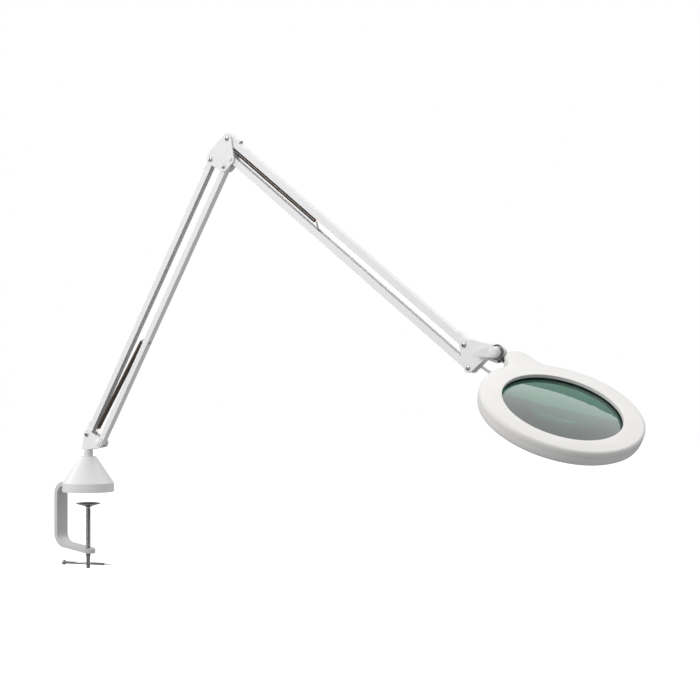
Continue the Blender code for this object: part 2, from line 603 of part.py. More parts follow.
# Neck: a plated rod with a flat eye round the swivel pin.
head_turn = (Matrix.Rotation(math.radians(HEAD_YAW), 3, "Z")
             @ Matrix.Rotation(math.radians(HEAD_TILT), 3, "Y")
             @ Matrix.Rotation(math.radians(HEAD_SPIN), 3, "Z"))
neck_turn = Matrix.Rotation(math.radians(NECK_SLOPE), 3, "Y")
n_local = neck_turn.inverted() @ (head_turn @ Vector((0, 0, 1)))
neck_axis = empty("axis_neck_roll", (N0[0], 0, N0[1]), (0, NECK_SLOPE, 0))
rod = lathe([(0, -12.2), (NECK_R - 0.5, -12.2), (NECK_R, -11.6), (NECK_R, NECK_LENGTH - 5.0),
             (0, NECK_LENGTH - 5.0)], 20, "X")
eye = lathe([(0, -4.0), (7.0, -4.0), (7.0, 4.0), (0, 4.0)], 24)
bore = lathe([(0, -12.0), (3.3, -12.0), (3.3, 12.0), (0, 12.0)], 16)
lean = Vector((0, 0, 1)).rotation_difference(n_local).to_matrix()
for part in (eye, bore):
    bmesh.ops.rotate(part, verts=part.verts, matrix=lean)
    shift(part, NECK_LENGTH, 0, 0)
piece("neck_shaft", combine(combine(rod, [eye], "UNION"), [bore], "DIFFERENCE"), "chrome", neck_axis)

# ===================================================================== head
# Its axis empty stands on the swivel pin.  The pieces are drawn about the
# middle of the lens opening, in the plane of the top face.
head = empty("axis_head_swivel", (P[0], 0, P[1]))
head.rotation_euler = head_turn.to_euler()
LENS_AT = (-BUMP_X, 0, NECK_DEPTH)


def ring_outline(inset=0.0, n_main=38, n_fillet=3, n_bump=12):
    """The ring's outline with its rounded lug, drawn in by `inset`."""
    R, r, f = HEAD_R, BUMP_R, BUMP_FILLET
    b = -BUMP_X
    cx = -((R + f) ** 2 - (r + f) ** 2 + b * b) / (2 * b)
    cy = math.sqrt((R + f) ** 2 - cx * cx)
    a_main = math.atan2(cy, cx)
    a_bump = math.atan2(cy, cx - BUMP_X)
    R, r, f = R - inset, r - inset, f + inset
    pts = []
    for k in range(n_main + 1):                      # round the ring, from below to above
        a = -a_main + 2 * a_main * k / n_main
        pts.append((R * math.cos(a), R * math.sin(a)))
    fillet0, fillet1 = a_main + math.pi, a_bump + math.pi
    for k in range(1, n_fillet):
        a = fillet0 + (fillet1 - fillet0) * k / n_fillet
        pts.append((cx + f * math.cos(a), cy + f * math.sin(a)))
    for k in range(n_bump + 1):
        a = a_bump + (math.tau - 2 * a_bump) * k / n_bump
        pts.append((BUMP_X + r * math.cos(a), r * math.sin(a)))
    for k in range(n_fillet - 1, 0, -1):
        a = fillet0 + (fillet1 - fillet0) * k / n_fillet
        pts.append((cx + f * math.cos(a), -(cy + f * math.sin(a))))
    return pts


def level(points, z):
    return [(x, y, z) for x, y in points]


OUT0 = ring_outline()
COUNT = len(OUT0)


def round_loop(r, z):
    """A circle whose points face the outline's, one to one."""
    angles = [math.atan2(y, x) for x, y in OUT0]
    return [(r * math.cos(a), r * math.sin(a), z) for a in angles]


pz = PARTING_Z
top = loft([
    round_loop(LENS_OPENING_R, -5.0), round_loop(LENS_OPENING_R, -0.5), round_loop(LENS_OPENING_R + 0.6, 0.0),
    level(ring_outline(4.5), 0.0), level(ring_outline(2.0), -0.5), level(ring_outline(0.5), -1.9),
    level(OUT0, -3.6), level(OUT0, pz), level(ring_outline(2.0), pz), level(ring_outline(2.2), -3.6),
    level(ring_outline(4.0), -2.2), round_loop(LENS_OPENING_R + 2.0, -2.2), round_loop(LENS_OPENING_R + 2.0, -5.0)])
piece("head_top_shell", top, "white_shell", head, LENS_AT)

low = -HEAD_THICK
bottom = loft([
    level(OUT0, pz - GAP), level(ring_outline(0.1), pz - 5.0), level(ring_outline(0.9), low + 6.0),
    level(ring_outline(2.6), low + 2.0), level(ring_outline(5.0), low), round_loop(107.4, low),
    round_loop(107.4, low + 2.0), level(ring_outline(6.2), low + 2.0), level(ring_outline(2.9), low + 6.0),
    level(ring_outline(2.0), pz - GAP)])
# Window in the lug for the neck, wide enough for the swivel, and screw holes.
gate = [(BUMP_X + r * math.cos(math.radians(a)), r * math.sin(math.radians(a)))
        for r, seq in ((13.0, range(112, 253, 10)), (26.0, range(252, 111, -10))) for a in seq]
cuts = [prism([gate], low + 1.6, 5, "Z"), prism([circle(GLAND_X, 0, 2.7, 16, 0.17)], low - 3, low + 4, "Z")]
SCREW_ANGLES = (40.0, 160.0, 280.0)
screw_at = [(110.4 * math.cos(math.radians(a)), 110.4 * math.sin(math.radians(a))) for a in SCREW_ANGLES]
cuts += [prism([circle(x, y, 2.4, 12, 0.1)], low - 3, low + 4, "Z") for x, y in screw_at]
piece("head_bottom_shell", combine(bottom, cuts, "DIFFERENCE"), "white_shell", head, LENS_AT)
for k, (x, y) in enumerate(screw_at):
    piece("housing_screw_%d" % (k + 1), lathe([
        (0, low + 0.4), (2.05, low + 0.4), (2.05, low + 1.6), (1.3, low + 2.6), (1.3, -13.0), (0, -13.0)], 12),
        "nickel", head, (LENS_AT[0] + x, y, LENS_AT[2]))

EDGE_TOP, EDGE_LOW, SAG_TOP, SAG_LOW = -7.5, -10.0, 7.0, 11.5
profile = [(LENS_R * k / 5, EDGE_TOP + SAG_TOP * (1 - (k / 5) ** 2)) for k in range(6)]
profile += [(LENS_R * k / 5, EDGE_LOW - SAG_LOW * (1 - (k / 5) ** 2)) for k in range(5, -1, -1)]
piece("lens", lathe(profile, 36), "lens_glass", head, LENS_AT)
piece("lens_gasket", lathe([(87.7, -5.3), (92.6, -5.3), (92.6, -9.6), (91.3, -9.6), (91.3, -7.1),
                            (87.7, -6.7)], 36), "black_rubber", head, LENS_AT)
piece("lens_retainer", lathe([(87.0, low), (92.9, low), (92.9, low + 2.0), (89.4, low + 2.0), (89.4, -11.2),
                              (87.0, -11.6)], 36), "white_shell", head, LENS_AT)
piece("diffuser_ring", lathe([(93.2, low + 0.3), (107.1, low + 0.3), (107.1, low + 1.9), (93.2, low + 1.9)], 36),
      "frosted_plastic", head, LENS_AT)

# LED board: a flat ring with a row of square emitters on its lower face.
board = bmesh.new()
LEDS, bands = 20, (94.0, 99.5, 104.5, 112.0)
for z in (-7.4, -9.0):
    rows = [[board.verts.new(Vector((r * math.cos(math.tau * k / (2 * LEDS)),
                                     r * math.sin(math.tau * k / (2 * LEDS)), z)) * MM)
             for k in range(2 * LEDS)] for r in bands]
    if z == -7.4:
        upper = rows
        continue
    for a, b in zip(rows, rows[1:]):
        for k in range(2 * LEDS):
            j = (k + 1) % (2 * LEDS)
            board.faces.new((a[k], a[j], b[j], b[k]))
    emit = [f for f in board.faces
            if 99.5 * MM < math.hypot(*f.calc_center_median()[:2]) < 104.5 * MM][::2]
    for k in range(2 * LEDS):
        j = (k + 1) % (2 * LEDS)
        for a, b in zip(upper, upper[1:]):
            board.faces.new((a[k], a[j], b[j], b[k]))
        board.faces.new((upper[0][k], upper[0][j], rows[0][j], rows[0][k]))
        board.faces.new((upper[-1][k], upper[-1][j], rows[-1][j], rows[-1][k]))
bmesh.ops.recalc_face_normals(board, faces=board.faces)
bmesh.ops.inset_individual(board, faces=emit, thickness=0.9 * MM)
for f in emit:
    for v in f.verts:
        v.co.z = -9.9 * MM
piece("led_ring_board", tidy(board), "circuit_board", head, LENS_AT)

piece("touch_board", prism([box(-126.0, -97.0, -14.0, 14.0)], -4.6, -3.0, "Z"), "green_board", head, LENS_AT)
piece("lead_gland", lathe([(2.5, -27.4), (3.9, -27.4), (4.7, -26.6), (4.7, -24.3), (2.5, -24.3)], 20),
      "black_rubber", head, (LENS_AT[0] + GLAND_X, 0, LENS_AT[2]))
piece("swivel_pin", lathe([(0, -21.7), (3.0, -21.7), (3.0, -2.5), (0, -2.5)], 16), "nickel", head,
      (LENS_AT[0] + BUMP_X, 0, LENS_AT[2]))


# ===================================================================== lead
def smooth(points, n):
    """Points along a smooth curve through the route's own points."""
    pts = [Vector(p) for p in points]
    out = []
    for i in range(len(pts) - 1):
        p0, p1 = pts[max(i - 1, 0)], pts[i]
        p2, p3 = pts[i + 1], pts[min(i + 2, len(pts) - 1)]
        for k in range(n):
            t = k / n
            out.append(0.5 * (2 * p1 + (p2 - p0) * t + (2 * p0 - 5 * p1 + 4 * p2 - p3) * t * t
                              + (3 * p1 - p0 - 3 * p2 + p3) * t ** 3))
    out.append(pts[-1])
    return out


def lead(name, points, parent, n=2):
    curve = bpy.data.curves.new(name, "CURVE")
    curve.dimensions = "3D"
    spline = curve.splines.new("POLY")
    pts = smooth(points, n)
    spline.points.add(len(pts) - 1)
    for sp, p in zip(spline.points, pts):
        sp.co = (*(p * MM), 1.0)
    curve.bevel_depth = 2.15 * MM
    curve.bevel_resolution = 2
    curve.use_fill_caps = True
    obj = bpy.data.objects.new(name, curve)
    bpy.context.scene.collection.objects.link(obj)
    colour, rough, metal = LOOKS["grey_lead"]
    curve.materials.append(material(name, colour, rough, metal))
    obj.parent = parent
    return obj


# The lead leaves the arm between the bracket's plates, hangs in a short loop
# under the neck and goes up through the gland into the head.  It is in three
# stretches, so that each one crosses a single joint.
bpy.context.view_layer.update()


def head_point(x, y, z):
    """World place of a point given in the head's own frame, in mm."""
    v = head_turn @ Vector((x - BUMP_X, y, z + NECK_DEPTH))
    return Vector((P[0] + v.x, v.y, P[1] + v.z))


LOOP_IN = [(-48.0, 0, -6.5), (-42.5, 0, -13.0), (-36.5, 0, -20.3), (-27.0, 0, -26.0), (-17.0, 0, -31.0),
           (-6.0, 0, -36.2), (4.0, -0.2, -40.0)]
LOOP_MID = [(4.0, -0.2, -40.0), (10.0, -0.4, -41.9), (16.0, -0.7, -43.3)]
tilt = Vector((T[0], 0, T[1]))
first = [tilt + Vector(p) for p in LOOP_IN]
second = [tilt + Vector(p) for p in LOOP_MID]
third = [second[-1], tilt + Vector((25.5, -1.4, -44.4)), head_point(GLAND_X, 0, -34.0),
         head_point(GLAND_X, 0, -27.5), head_point(GLAND_X, 0, -21.0)]


def trimmed(points, start, end):
    """Pull the ends in so that neighbouring stretches meet face to face."""
    pts = [Vector(p) for p in points]
    if start:
        pts[0] += (pts[1] - pts[0]).normalized() * start
    if end:
        pts[-1] += (pts[-2] - pts[-1]).normalized() * end
    return pts


for name, route, parent, cut in (("head_lead_a", first, bracket, (0, 0.3)),
                                 ("head_lead_b", second, block_axis, (0.3, 0.3)),
                                 ("head_lead_c", third, neck_axis, (0.3, 0))):
    back = parent.matrix_world.inverted()
    lead(name, [(back @ (p * MM)) / MM for p in trimmed(route, *cut)], parent)
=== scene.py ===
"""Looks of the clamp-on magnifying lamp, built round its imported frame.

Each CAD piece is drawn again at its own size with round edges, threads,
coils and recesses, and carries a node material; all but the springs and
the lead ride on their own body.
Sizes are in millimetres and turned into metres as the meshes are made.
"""

import json
import math

import bmesh
import bpy
from mathutils import Matrix, Vector


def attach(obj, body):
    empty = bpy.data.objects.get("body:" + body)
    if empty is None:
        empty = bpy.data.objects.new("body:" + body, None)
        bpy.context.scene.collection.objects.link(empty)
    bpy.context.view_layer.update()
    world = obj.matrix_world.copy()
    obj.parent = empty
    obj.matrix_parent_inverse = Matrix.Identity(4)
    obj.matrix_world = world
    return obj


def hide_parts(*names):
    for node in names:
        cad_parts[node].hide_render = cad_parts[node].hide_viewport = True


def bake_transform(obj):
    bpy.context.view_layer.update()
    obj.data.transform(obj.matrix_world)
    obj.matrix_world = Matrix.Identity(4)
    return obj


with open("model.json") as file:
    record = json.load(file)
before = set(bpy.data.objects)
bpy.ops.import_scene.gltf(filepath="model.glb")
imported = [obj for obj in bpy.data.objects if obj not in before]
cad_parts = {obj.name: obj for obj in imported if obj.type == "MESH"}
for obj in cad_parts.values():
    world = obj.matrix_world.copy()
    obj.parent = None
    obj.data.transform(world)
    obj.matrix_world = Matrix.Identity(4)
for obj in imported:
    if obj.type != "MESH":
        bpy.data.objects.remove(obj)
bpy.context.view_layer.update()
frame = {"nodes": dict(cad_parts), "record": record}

BODY_OF = {node: body for body, nodes in frame["record"]["behaviour"]["bodies"].items() for node in nodes}
SLOT_OF = {row["node"]: row["material_slot"] for row in frame["record"]["subparts"]}
FINE = 3                       # times the CAD's own number of sides

MM = 0.001
GAP = 0.3

# ---------------------------------------------------------------- sizes, mm
LOWER_ARM = 550.0              # pivot to pivot
UPPER_ARM = 590.0
LOWER_RISE = 57.03             # degrees above the horizontal at rest
UPPER_DROP = 35.03             # degrees below the horizontal at rest

BASE_FRONT_PIVOT = (4.8, 100.4)          # X, Z of the outer lower bar's pivot
BASE_PIVOTS = (29.8, -13.6)              # outer to inner lower bar pivot
ELBOW_LOWER_TO_UPPER = (37.0, 32.0)      # C to A
ELBOW_UPPER = (7.4, -34.3)               # A to B
HEAD_NOSE = (61.7, -11.1)                # A1 to the tilt axis

BAR_WIDE = 10.0                # across, along Y
BAR_SHEET = 0.9
LOWER_BAR_HIGH = 10.5
UPPER_BAR_HIGH = 11.5
PLATE_IN, PLATE_OUT = 5.6, 8.2           # side plates, distance from the XZ plane
PIVOT_R = 2.0
HOLE_R = 2.3

CLAMP_WIDE = 25.0
CLAMP_THICK = 7.8
CLAMP_SPINE_X = -70.9
CLAMP_TOP_Z = 12.0             # middle of the upper arm
CLAMP_LOW_Z = -102.4           # middle of the lower arm at the screw
CLAMP_LOW_SLOPE = 6.8          # degrees
JAW_R = 18.0
SCREW_R = 4.4
TOMMY_R = 2.2
TOMMY_Z = -125.6
TOMMY_TURN = 19.0              # degrees from +X
PAD_R = 21.75

CONE_SKIRT_R, CONE_SKIRT_Z = 45.1, 15.5
CONE_TOP_R, CONE_TOP_Z = 13.5, 62.0
CONE_WALL = 2.0

HEAD_R = 119.5                 # outside of the ring
LENS_OPENING_R = 87.5          # a 175 mm, seven inch lens
LENS_R = 91.0
HEAD_THICK = 24.0
BUMP_X, BUMP_R, BUMP_FILLET = -135.5, 21.0, 28.0
PARTING_Z = -8.0
NECK_FROM_TILT = (-2.5, -9.6)  # tilt axis to the neck's socket face, X and Z
NECK_SLOPE = 20.0              # degrees below the horizontal
NECK_LENGTH = 33.8             # socket face to the swivel pin
NECK_DEPTH = 15.8              # swivel pin's eye below the head's top face
HEAD_TILT, HEAD_YAW, HEAD_SPIN = 30.2, -26.0, 1.6
GLAND_X = -120.0               # lead entry, along the head's own axis
NECK_R = 3.5


# ------------------------------------------------------------- derived pivots
def add(p, q):
    return (p[0] + q[0], p[1] + q[1])


def along(p, angle, length):
    a = math.radians(angle)
    return (p[0] + length * math.cos(a), p[1] + length * math.sin(a))


C0 = BASE_FRONT_PIVOT
D0 = add(C0, BASE_PIVOTS)
C = along(C0, LOWER_RISE, LOWER_ARM)
D = add(C, BASE_PIVOTS)
A = add(C, ELBOW_LOWER_TO_UPPER)
B = add(A, ELBOW_UPPER)
A1 = along(A, -UPPER_DROP, UPPER_ARM)
B1 = add(A1, ELBOW_UPPER)
T = add(A1, HEAD_NOSE)
N0 = add(T, NECK_FROM_TILT)
P = along(N0, -NECK_SLOPE, NECK_LENGTH)




# ------------------------------------------------------------------ materials
class Nodes:
    """A small helper for laying out a node material."""

    def __init__(self, name):
        self.mat = bpy.data.materials.new(name)
        self.mat.use_nodes = True
        self.tree = self.mat.node_tree
        self.bsdf = self.tree.nodes["Principled BSDF"]
        self.coord = self.tree.nodes.new("ShaderNodeTexCoord").outputs["Object"]

    def new(self, kind, **values):
        node = self.tree.nodes.new(kind)
        for key, value in values.items():
            node.inputs[key.replace("_", " ")].default_value = value
        return node

    def link(self, a, b):
        self.tree.links.new(a, b)

    def noise(self, scale, detail=3.0, stretch=None):
        node = self.new("ShaderNodeTexNoise", Scale=scale, Detail=detail)
        source = self.coord
        if stretch:
            mapping = self.new("ShaderNodeMapping")
            mapping.inputs["Scale"].default_value = stretch
            self.link(self.coord, mapping.inputs["Vector"])
            source = mapping.outputs["Vector"]
        self.link(source, node.inputs["Vector"])
        return node.outputs["Fac"]

    def ramp(self, source, stops):
        node = self.tree.nodes.new("ShaderNodeValToRGB")
        ramp = node.color_ramp
        while len(ramp.elements) < len(stops):
            ramp.elements.new(0.5)
        for element, (at, colour) in zip(ramp.elements, stops):
            element.position = at
            element.color = (*colour, 1.0)
        self.link(source, node.inputs["Fac"])
        return node.outputs["Color"]

    def spread(self, source, low, high):
        node = self.new("ShaderNodeMapRange", To_Min=low, To_Max=high)
        self.link(source, node.inputs["Value"])
        return node.outputs["Result"]

    def bump(self, source, strength, distance):
        node = self.new("ShaderNodeBump", Strength=strength, Distance=distance)
        self.link(source, node.inputs["Height"])
        self.link(node.outputs["Normal"], self.bsdf.inputs["Normal"])

    def set(self, **values):
        for key, value in values.items():
            self.bsdf.inputs[key.replace("_", " ")].default_value = value


def shade(colour, k):
    return tuple(min(1.0, c * k) for c in colour)


def coated(name, colour, rough, vary=0.03, peel=0.10, coat=0.0, spec=0.5):
    """Paint or moulded plastic: faint mottling, orange peel, uneven gloss."""
    m = Nodes(name)
    tone = m.noise(34.0, 4.0)
    m.link(m.ramp(tone, [(0.30, shade(colour, 1 - vary)), (0.72, shade(colour, 1 + vary * 0.6))]),
           m.bsdf.inputs["Base Color"])
    m.link(m.spread(m.noise(160.0, 3.0), rough - 0.06, rough + 0.06), m.bsdf.inputs["Roughness"])
    m.bump(m.noise(240.0, 2.0), peel, 0.00004)
    m.set(Metallic=0.0, Specular_IOR_Level=spec, Coat_Weight=coat, Coat_Roughness=0.12)
    return m.mat


def plated(name, colour, rough, brush=None, spots=0.05):
    """Plated or polished metal, with fine scratches along or round the piece."""
    m = Nodes(name)
    m.link(m.ramp(m.noise(60.0, 4.0), [(0.30, shade(colour, 1 - spots)), (0.70, shade(colour, 1 + spots))]),
           m.bsdf.inputs["Base Color"])
    fine = m.noise(700.0, 3.0, brush or (1.0, 1.0, 1.0))
    m.link(m.spread(fine, rough * 0.7, rough * 1.35), m.bsdf.inputs["Roughness"])
    m.bump(fine, 0.06, 0.00004)
    m.set(Metallic=1.0)
    return m.mat


def rubber(name, colour, rough):
    m = Nodes(name)
    m.link(m.ramp(m.noise(90.0, 3.0), [(0.3, shade(colour, 0.8)), (0.7, shade(colour, 1.25))]),
           m.bsdf.inputs["Base Color"])
    m.link(m.spread(m.noise(300.0), rough - 0.08, rough + 0.08), m.bsdf.inputs["Roughness"])
    m.bump(m.noise(1500.0, 3.0), 0.25, 0.00008)
    m.set(Metallic=0.0, Specular_IOR_Level=0.35)
    return m.mat


def board(name, colour, track):
    """Circuit board: solder mask with faint tracks under it."""
    m = Nodes(name)
    tracks = m.new("ShaderNodeTexVoronoi", Scale=420.0)
    m.link(m.coord, tracks.inputs["Vector"])
    m.link(m.ramp(tracks.outputs["Distance"], [(0.10, track), (0.34, colour)]), m.bsdf.inputs["Base Color"])
    m.link(m.spread(m.noise(400.0), 0.30, 0.50), m.bsdf.inputs["Roughness"])
    m.bump(tracks.outputs["Distance"], 0.2, 0.00005)
    return m.mat


def glass(name, colour, rough, through, ior):
    m = Nodes(name)
    m.link(m.ramp(m.noise(12.0, 2.0), [(0.3, shade(colour, 0.97)), (0.7, shade(colour, 1.03))]),
           m.bsdf.inputs["Base Color"])
    m.link(m.spread(m.noise(60.0), rough, rough + 0.015), m.bsdf.inputs["Roughness"])
    m.set(Metallic=0.0, Transmission_Weight=through, IOR=ior, Specular_IOR_Level=0.5)
    return m.mat


def diffusing(name, colour):
    m = Nodes(name)
    m.link(m.ramp(m.noise(80.0, 3.0), [(0.3, shade(colour, 0.96)), (0.7, shade(colour, 1.02))]),
           m.bsdf.inputs["Base Color"])
    m.link(m.spread(m.noise(500.0), 0.50, 0.65), m.bsdf.inputs["Roughness"])
    m.bump(m.noise(1400.0, 2.0), 0.3, 0.00008)
    m.set(Metallic=0.0, Transmission_Weight=0.25, Subsurface_Weight=0.15, Subsurface_Scale=0.002)
    return m.mat


LOOKS = {
    "white_paint": coated("white_paint", (0.86, 0.86, 0.87), 0.36, 0.012, 0.04, 0.10),
    "white_shell": coated("white_shell", (0.80, 0.795, 0.785), 0.38, 0.02, 0.12, 0.10),
    "head_shell": coated("head_shell", (0.76, 0.75, 0.735), 0.42, 0.02, 0.14, 0.05),
    "cone_shell": coated("cone_shell", (0.76, 0.76, 0.76), 0.40, 0.02, 0.12, 0.10),
    "grey_casting": coated("grey_casting", (0.60, 0.605, 0.61), 0.40, 0.03, 0.22, 0.15),
    "chrome": plated("chrome", (0.31, 0.313, 0.317), 0.11),
    "nickel": plated("nickel", (0.50, 0.49, 0.475), 0.24, (1.0, 6.0, 1.0)),
    "spring_steel": plated("spring_steel", (0.16, 0.135, 0.12), 0.34, (1.0, 1.0, 1.0), 0.18),
    "copper_wire": plated("copper_wire", (0.55, 0.30, 0.20), 0.32, (1.0, 1.0, 1.0), 0.15),
    "black_rubber": rubber("black_rubber", (0.03, 0.03, 0.032), 0.62),
    "grey_lead": coated("grey_lead", (0.56, 0.565, 0.58), 0.46, 0.04, 0.25, 0.0),
    "lens_glass": glass("lens_glass", (0.015, 0.110, 0.070), 0.0, 0.85, 1.52),
    "frosted_plastic": diffusing("frosted_plastic", (0.90, 0.90, 0.87)),
    "circuit_board": board("circuit_board", (0.78, 0.81, 0.78), (0.66, 0.70, 0.66)),
    "green_board": board("green_board", (0.04, 0.20, 0.09), (0.10, 0.34, 0.16)),
    "nylon": coated("nylon", (0.74, 0.74, 0.72), 0.48, 0.03, 0.2),
    # Near black: painted shade for the inside of the screw heads' cross recesses, which are nickel like the rest of
    # the head.
    "recess_painted_shade": coated("recess_painted_shade", (0.05, 0.05, 0.05), 0.6, 0.1, 0.1),
}


# -------------------------------------------------------------- mesh builders
def on(axis, a, b, c):
    """A point from two in-plane coordinates and one along the axis, in mm."""
    if axis == "Y":
        v = (a, c, b)
    elif axis == "Z":
        v = (a, b, c)
    else:
        v = (c, a, b)
    return Vector(v) * MM


def tidy(bm):
    bmesh.ops.remove_doubles(bm, verts=bm.verts, dist=2e-6)
    bmesh.ops.recalc_face_normals(bm, faces=bm.faces)
    return bm


def prism(loops, lo, hi, axis="Y"):
    """A flat outline, with any holes, given thickness along one axis."""
    bm = bmesh.new()
    edges = []
    for loop in loops:
        vs = [bm.verts.new(on(axis, p[0], p[1], lo)) for p in loop]
        edges += [bm.edges.new((vs[i], vs[(i + 1) % len(vs)])) for i in range(len(vs))]
    filled = bmesh.ops.triangle_fill(bm, use_beauty=True, edges=edges)["geom"]
    faces = [f for f in filled if isinstance(f, bmesh.types.BMFace)]
    grown = bmesh.ops.extrude_face_region(bm, geom=faces)["geom"]
    top = [v for v in grown if isinstance(v, bmesh.types.BMVert)]
    bmesh.ops.translate(bm, verts=top, vec=on(axis, 0, 0, hi - lo))
    return tidy(bm)


def lathe(profile, steps=24, axis="Z", at=(0, 0, 0)):
    """A closed profile of (radius, height) points turned about an axis."""
    steps = min(steps * FINE, 160)
    bm = bmesh.new()
    vs = [bm.verts.new(Vector((r, 0, h)) * MM) for r, h in profile]
    es = [bm.edges.new((vs[i], vs[(i + 1) % len(vs)])) for i in range(len(vs))
          if not (profile[i][0] == 0 and profile[(i + 1) % len(vs)][0] == 0)]
    bmesh.ops.spin(bm, geom=vs + es, cent=(0, 0, 0), axis=(0, 0, 1),
                   angle=math.tau, steps=steps, use_merge=True)
    tidy(bm)
    if axis == "Y":
        bmesh.ops.rotate(bm, verts=bm.verts, matrix=Matrix.Rotation(math.radians(-90), 3, "X"))
    elif axis == "X":
        bmesh.ops.rotate(bm, verts=bm.verts, matrix=Matrix.Rotation(math.radians(90), 3, "Y"))
    bmesh.ops.translate(bm, verts=bm.verts, vec=Vector(at) * MM)
    return bm


def sweep(points, radii, sides=20):
    """A round bar of changing radius through points, with closed ends."""
    bm = bmesh.new()
    pts = [Vector(p) * MM for p in points]
    up = Vector((0, 1, 0))
    rings = []
    for i, p in enumerate(pts):
        t = (pts[min(i + 1, len(pts) - 1)] - pts[max(i - 1, 0)]).normalized()
        a = t.cross(up).normalized()
        b = t.cross(a).normalized()
        r = radii[i] * MM
        rings.append([bm.verts.new(p + a * r * math.cos(math.tau * k / sides)
                                   + b * r * math.sin(math.tau * k / sides))
                      for k in range(sides)])
    for lower, upper in zip(rings, rings[1:]):
        for k in range(sides):
            bm.faces.new((lower[k], lower[(k + 1) % sides], upper[(k + 1) % sides], upper[k]))
    bm.faces.new(rings[0])
    bm.faces.new(rings[-1])
    return tidy(bm)


def loft(sections):
    """A closed ring of sections, each a loop of 3-D points in mm."""
    bm = bmesh.new()
    rows = [[bm.verts.new(Vector(p) * MM) for p in s] for s in sections]
    for row, nxt in zip(rows, rows[1:] + rows[:1]):
        for k in range(len(row)):
            j = (k + 1) % len(row)
            bm.faces.new((row[k], row[j], nxt[j], nxt[k]))
    return tidy(bm)


def circle(x, y, r, n=16, start=0.0):
    n = n if n == 6 else n * FINE
    return [(x + r * math.cos(start + math.tau * k / n),
             y + r * math.sin(start + math.tau * k / n)) for k in range(n)]


def box(x0, x1, y0, y1):
    return [(x0, y0), (x1, y0), (x1, y1), (x0, y1)]


def hull(*shapes):
    """Convex outline round some points."""
    pts = sorted(set((round(x, 4), round(y, 4)) for s in shapes for x, y in s))

    def half(seq):
        out = []
        for p in seq:
            while len(out) > 1 and ((out[-1][0] - out[-2][0]) * (p[1] - out[-2][1])
                                    - (out[-1][1] - out[-2][1]) * (p[0] - out[-2][0])) <= 1e-9:
                out.pop()
            out.append(p)
        return out[:-1]
    return half(pts) + half(reversed(pts))


def ribbon(line, half):
    """A strip of constant thickness round a centre line."""
    left, right = [], []
    for i, p in enumerate(line):
        q0, q1 = line[max(i - 1, 0)], line[min(i + 1, len(line) - 1)]
        dx, dy = q1[0] - q0[0], q1[1] - q0[1]
        d = math.hypot(dx, dy)
        nx, ny = -dy / d, dx / d
        left.append((p[0] + nx * half, p[1] + ny * half))
        right.append((p[0] - nx * half, p[1] - ny * half))
    return left + right[::-1]


def bend(cx, cy, r, a0, a1, n=8):
    n = n * FINE
    return [(cx + r * math.cos(math.radians(a0 + (a1 - a0) * k / n)),
             cy + r * math.sin(math.radians(a0 + (a1 - a0) * k / n))) for k in range(n + 1)]


def shift(bm, x=0.0, y=0.0, z=0.0):
    bmesh.ops.translate(bm, verts=bm.verts, vec=Vector((x, y, z)) * MM)
    return bm


# -------------------------------------------------------------------- objects
def empty(name, location, rotation=(0, 0, 0)):
    """The frame that the pieces of one moving body are drawn in."""
    turn = Matrix.Rotation(math.radians(rotation[2]), 4, "Z") \
        @ Matrix.Rotation(math.radians(rotation[1]), 4, "Y") \
        @ Matrix.Rotation(math.radians(rotation[0]), 4, "X")
    return Matrix.Translation(Vector(location) * MM) @ turn


def as_object(name, bm):
    mesh = bpy.data.meshes.new(name)
    bm.to_mesh(mesh)
    bm.free()
    obj = bpy.data.objects.new(name, mesh)
    bpy.context.scene.collection.objects.link(obj)
    return obj


def settle(obj):
    """Keep the evaluated mesh and drop the modifiers."""
    bpy.context.view_layer.update()
    done = bpy.data.meshes.new_from_object(
        obj.evaluated_get(bpy.context.evaluated_depsgraph_get()))
    obj.modifiers.clear()
    obj.data = done


def combine(bm, others, operation):
    """Join, cut or intersect one solid with others."""
    base = as_object("work", bm)
    for other in others:
        tool = as_object("tool", other)
        mod = base.modifiers.new("shape", "BOOLEAN")
        mod.operation = operation
        mod.object = tool
        mod.solver = "EXACT"
        settle(base)
        bpy.data.objects.remove(tool, do_unlink=True)
    out = bmesh.new()
    out.from_mesh(base.data)
    bpy.data.objects.remove(base, do_unlink=True)
    return out


def tube(name, pts, r, look, sides=16, caps=True):
    """A round tube along world points in mm, its frame carried from point to point."""
    bm = bmesh.new()
    pts = [Vector(p) for p in pts]
    side = None
    rings = []
    for i, p in enumerate(pts):
        t = (pts[min(i + 1, len(pts) - 1)] - pts[max(i - 1, 0)]).normalized()
        if side is None:
            side = t.orthogonal().normalized()
        side = (side - t * side.dot(t)).normalized()
        up = t.cross(side)
        radius = r(i / (len(pts) - 1)) if callable(r) else r
        rings.append([bm.verts.new((p + side * radius * math.cos(math.tau * k / sides)
                                    + up * radius * math.sin(math.tau * k / sides)) * MM)
                      for k in range(sides)])
    for lower, upper in zip(rings, rings[1:]):
        for k in range(sides):
            bm.faces.new((lower[k], lower[(k + 1) % sides], upper[(k + 1) % sides], upper[k]))
    if caps:
        bm.faces.new(rings[0])
        bm.faces.new(rings[-1])
    bmesh.ops.recalc_face_normals(bm, faces=bm.faces)
    obj = as_object(name, bm)
    obj.data.materials.append(LOOKS[look])
    obj.data.shade_smooth()
    obj.data.set_sharp_from_angle(angle=math.radians(50))
    return obj


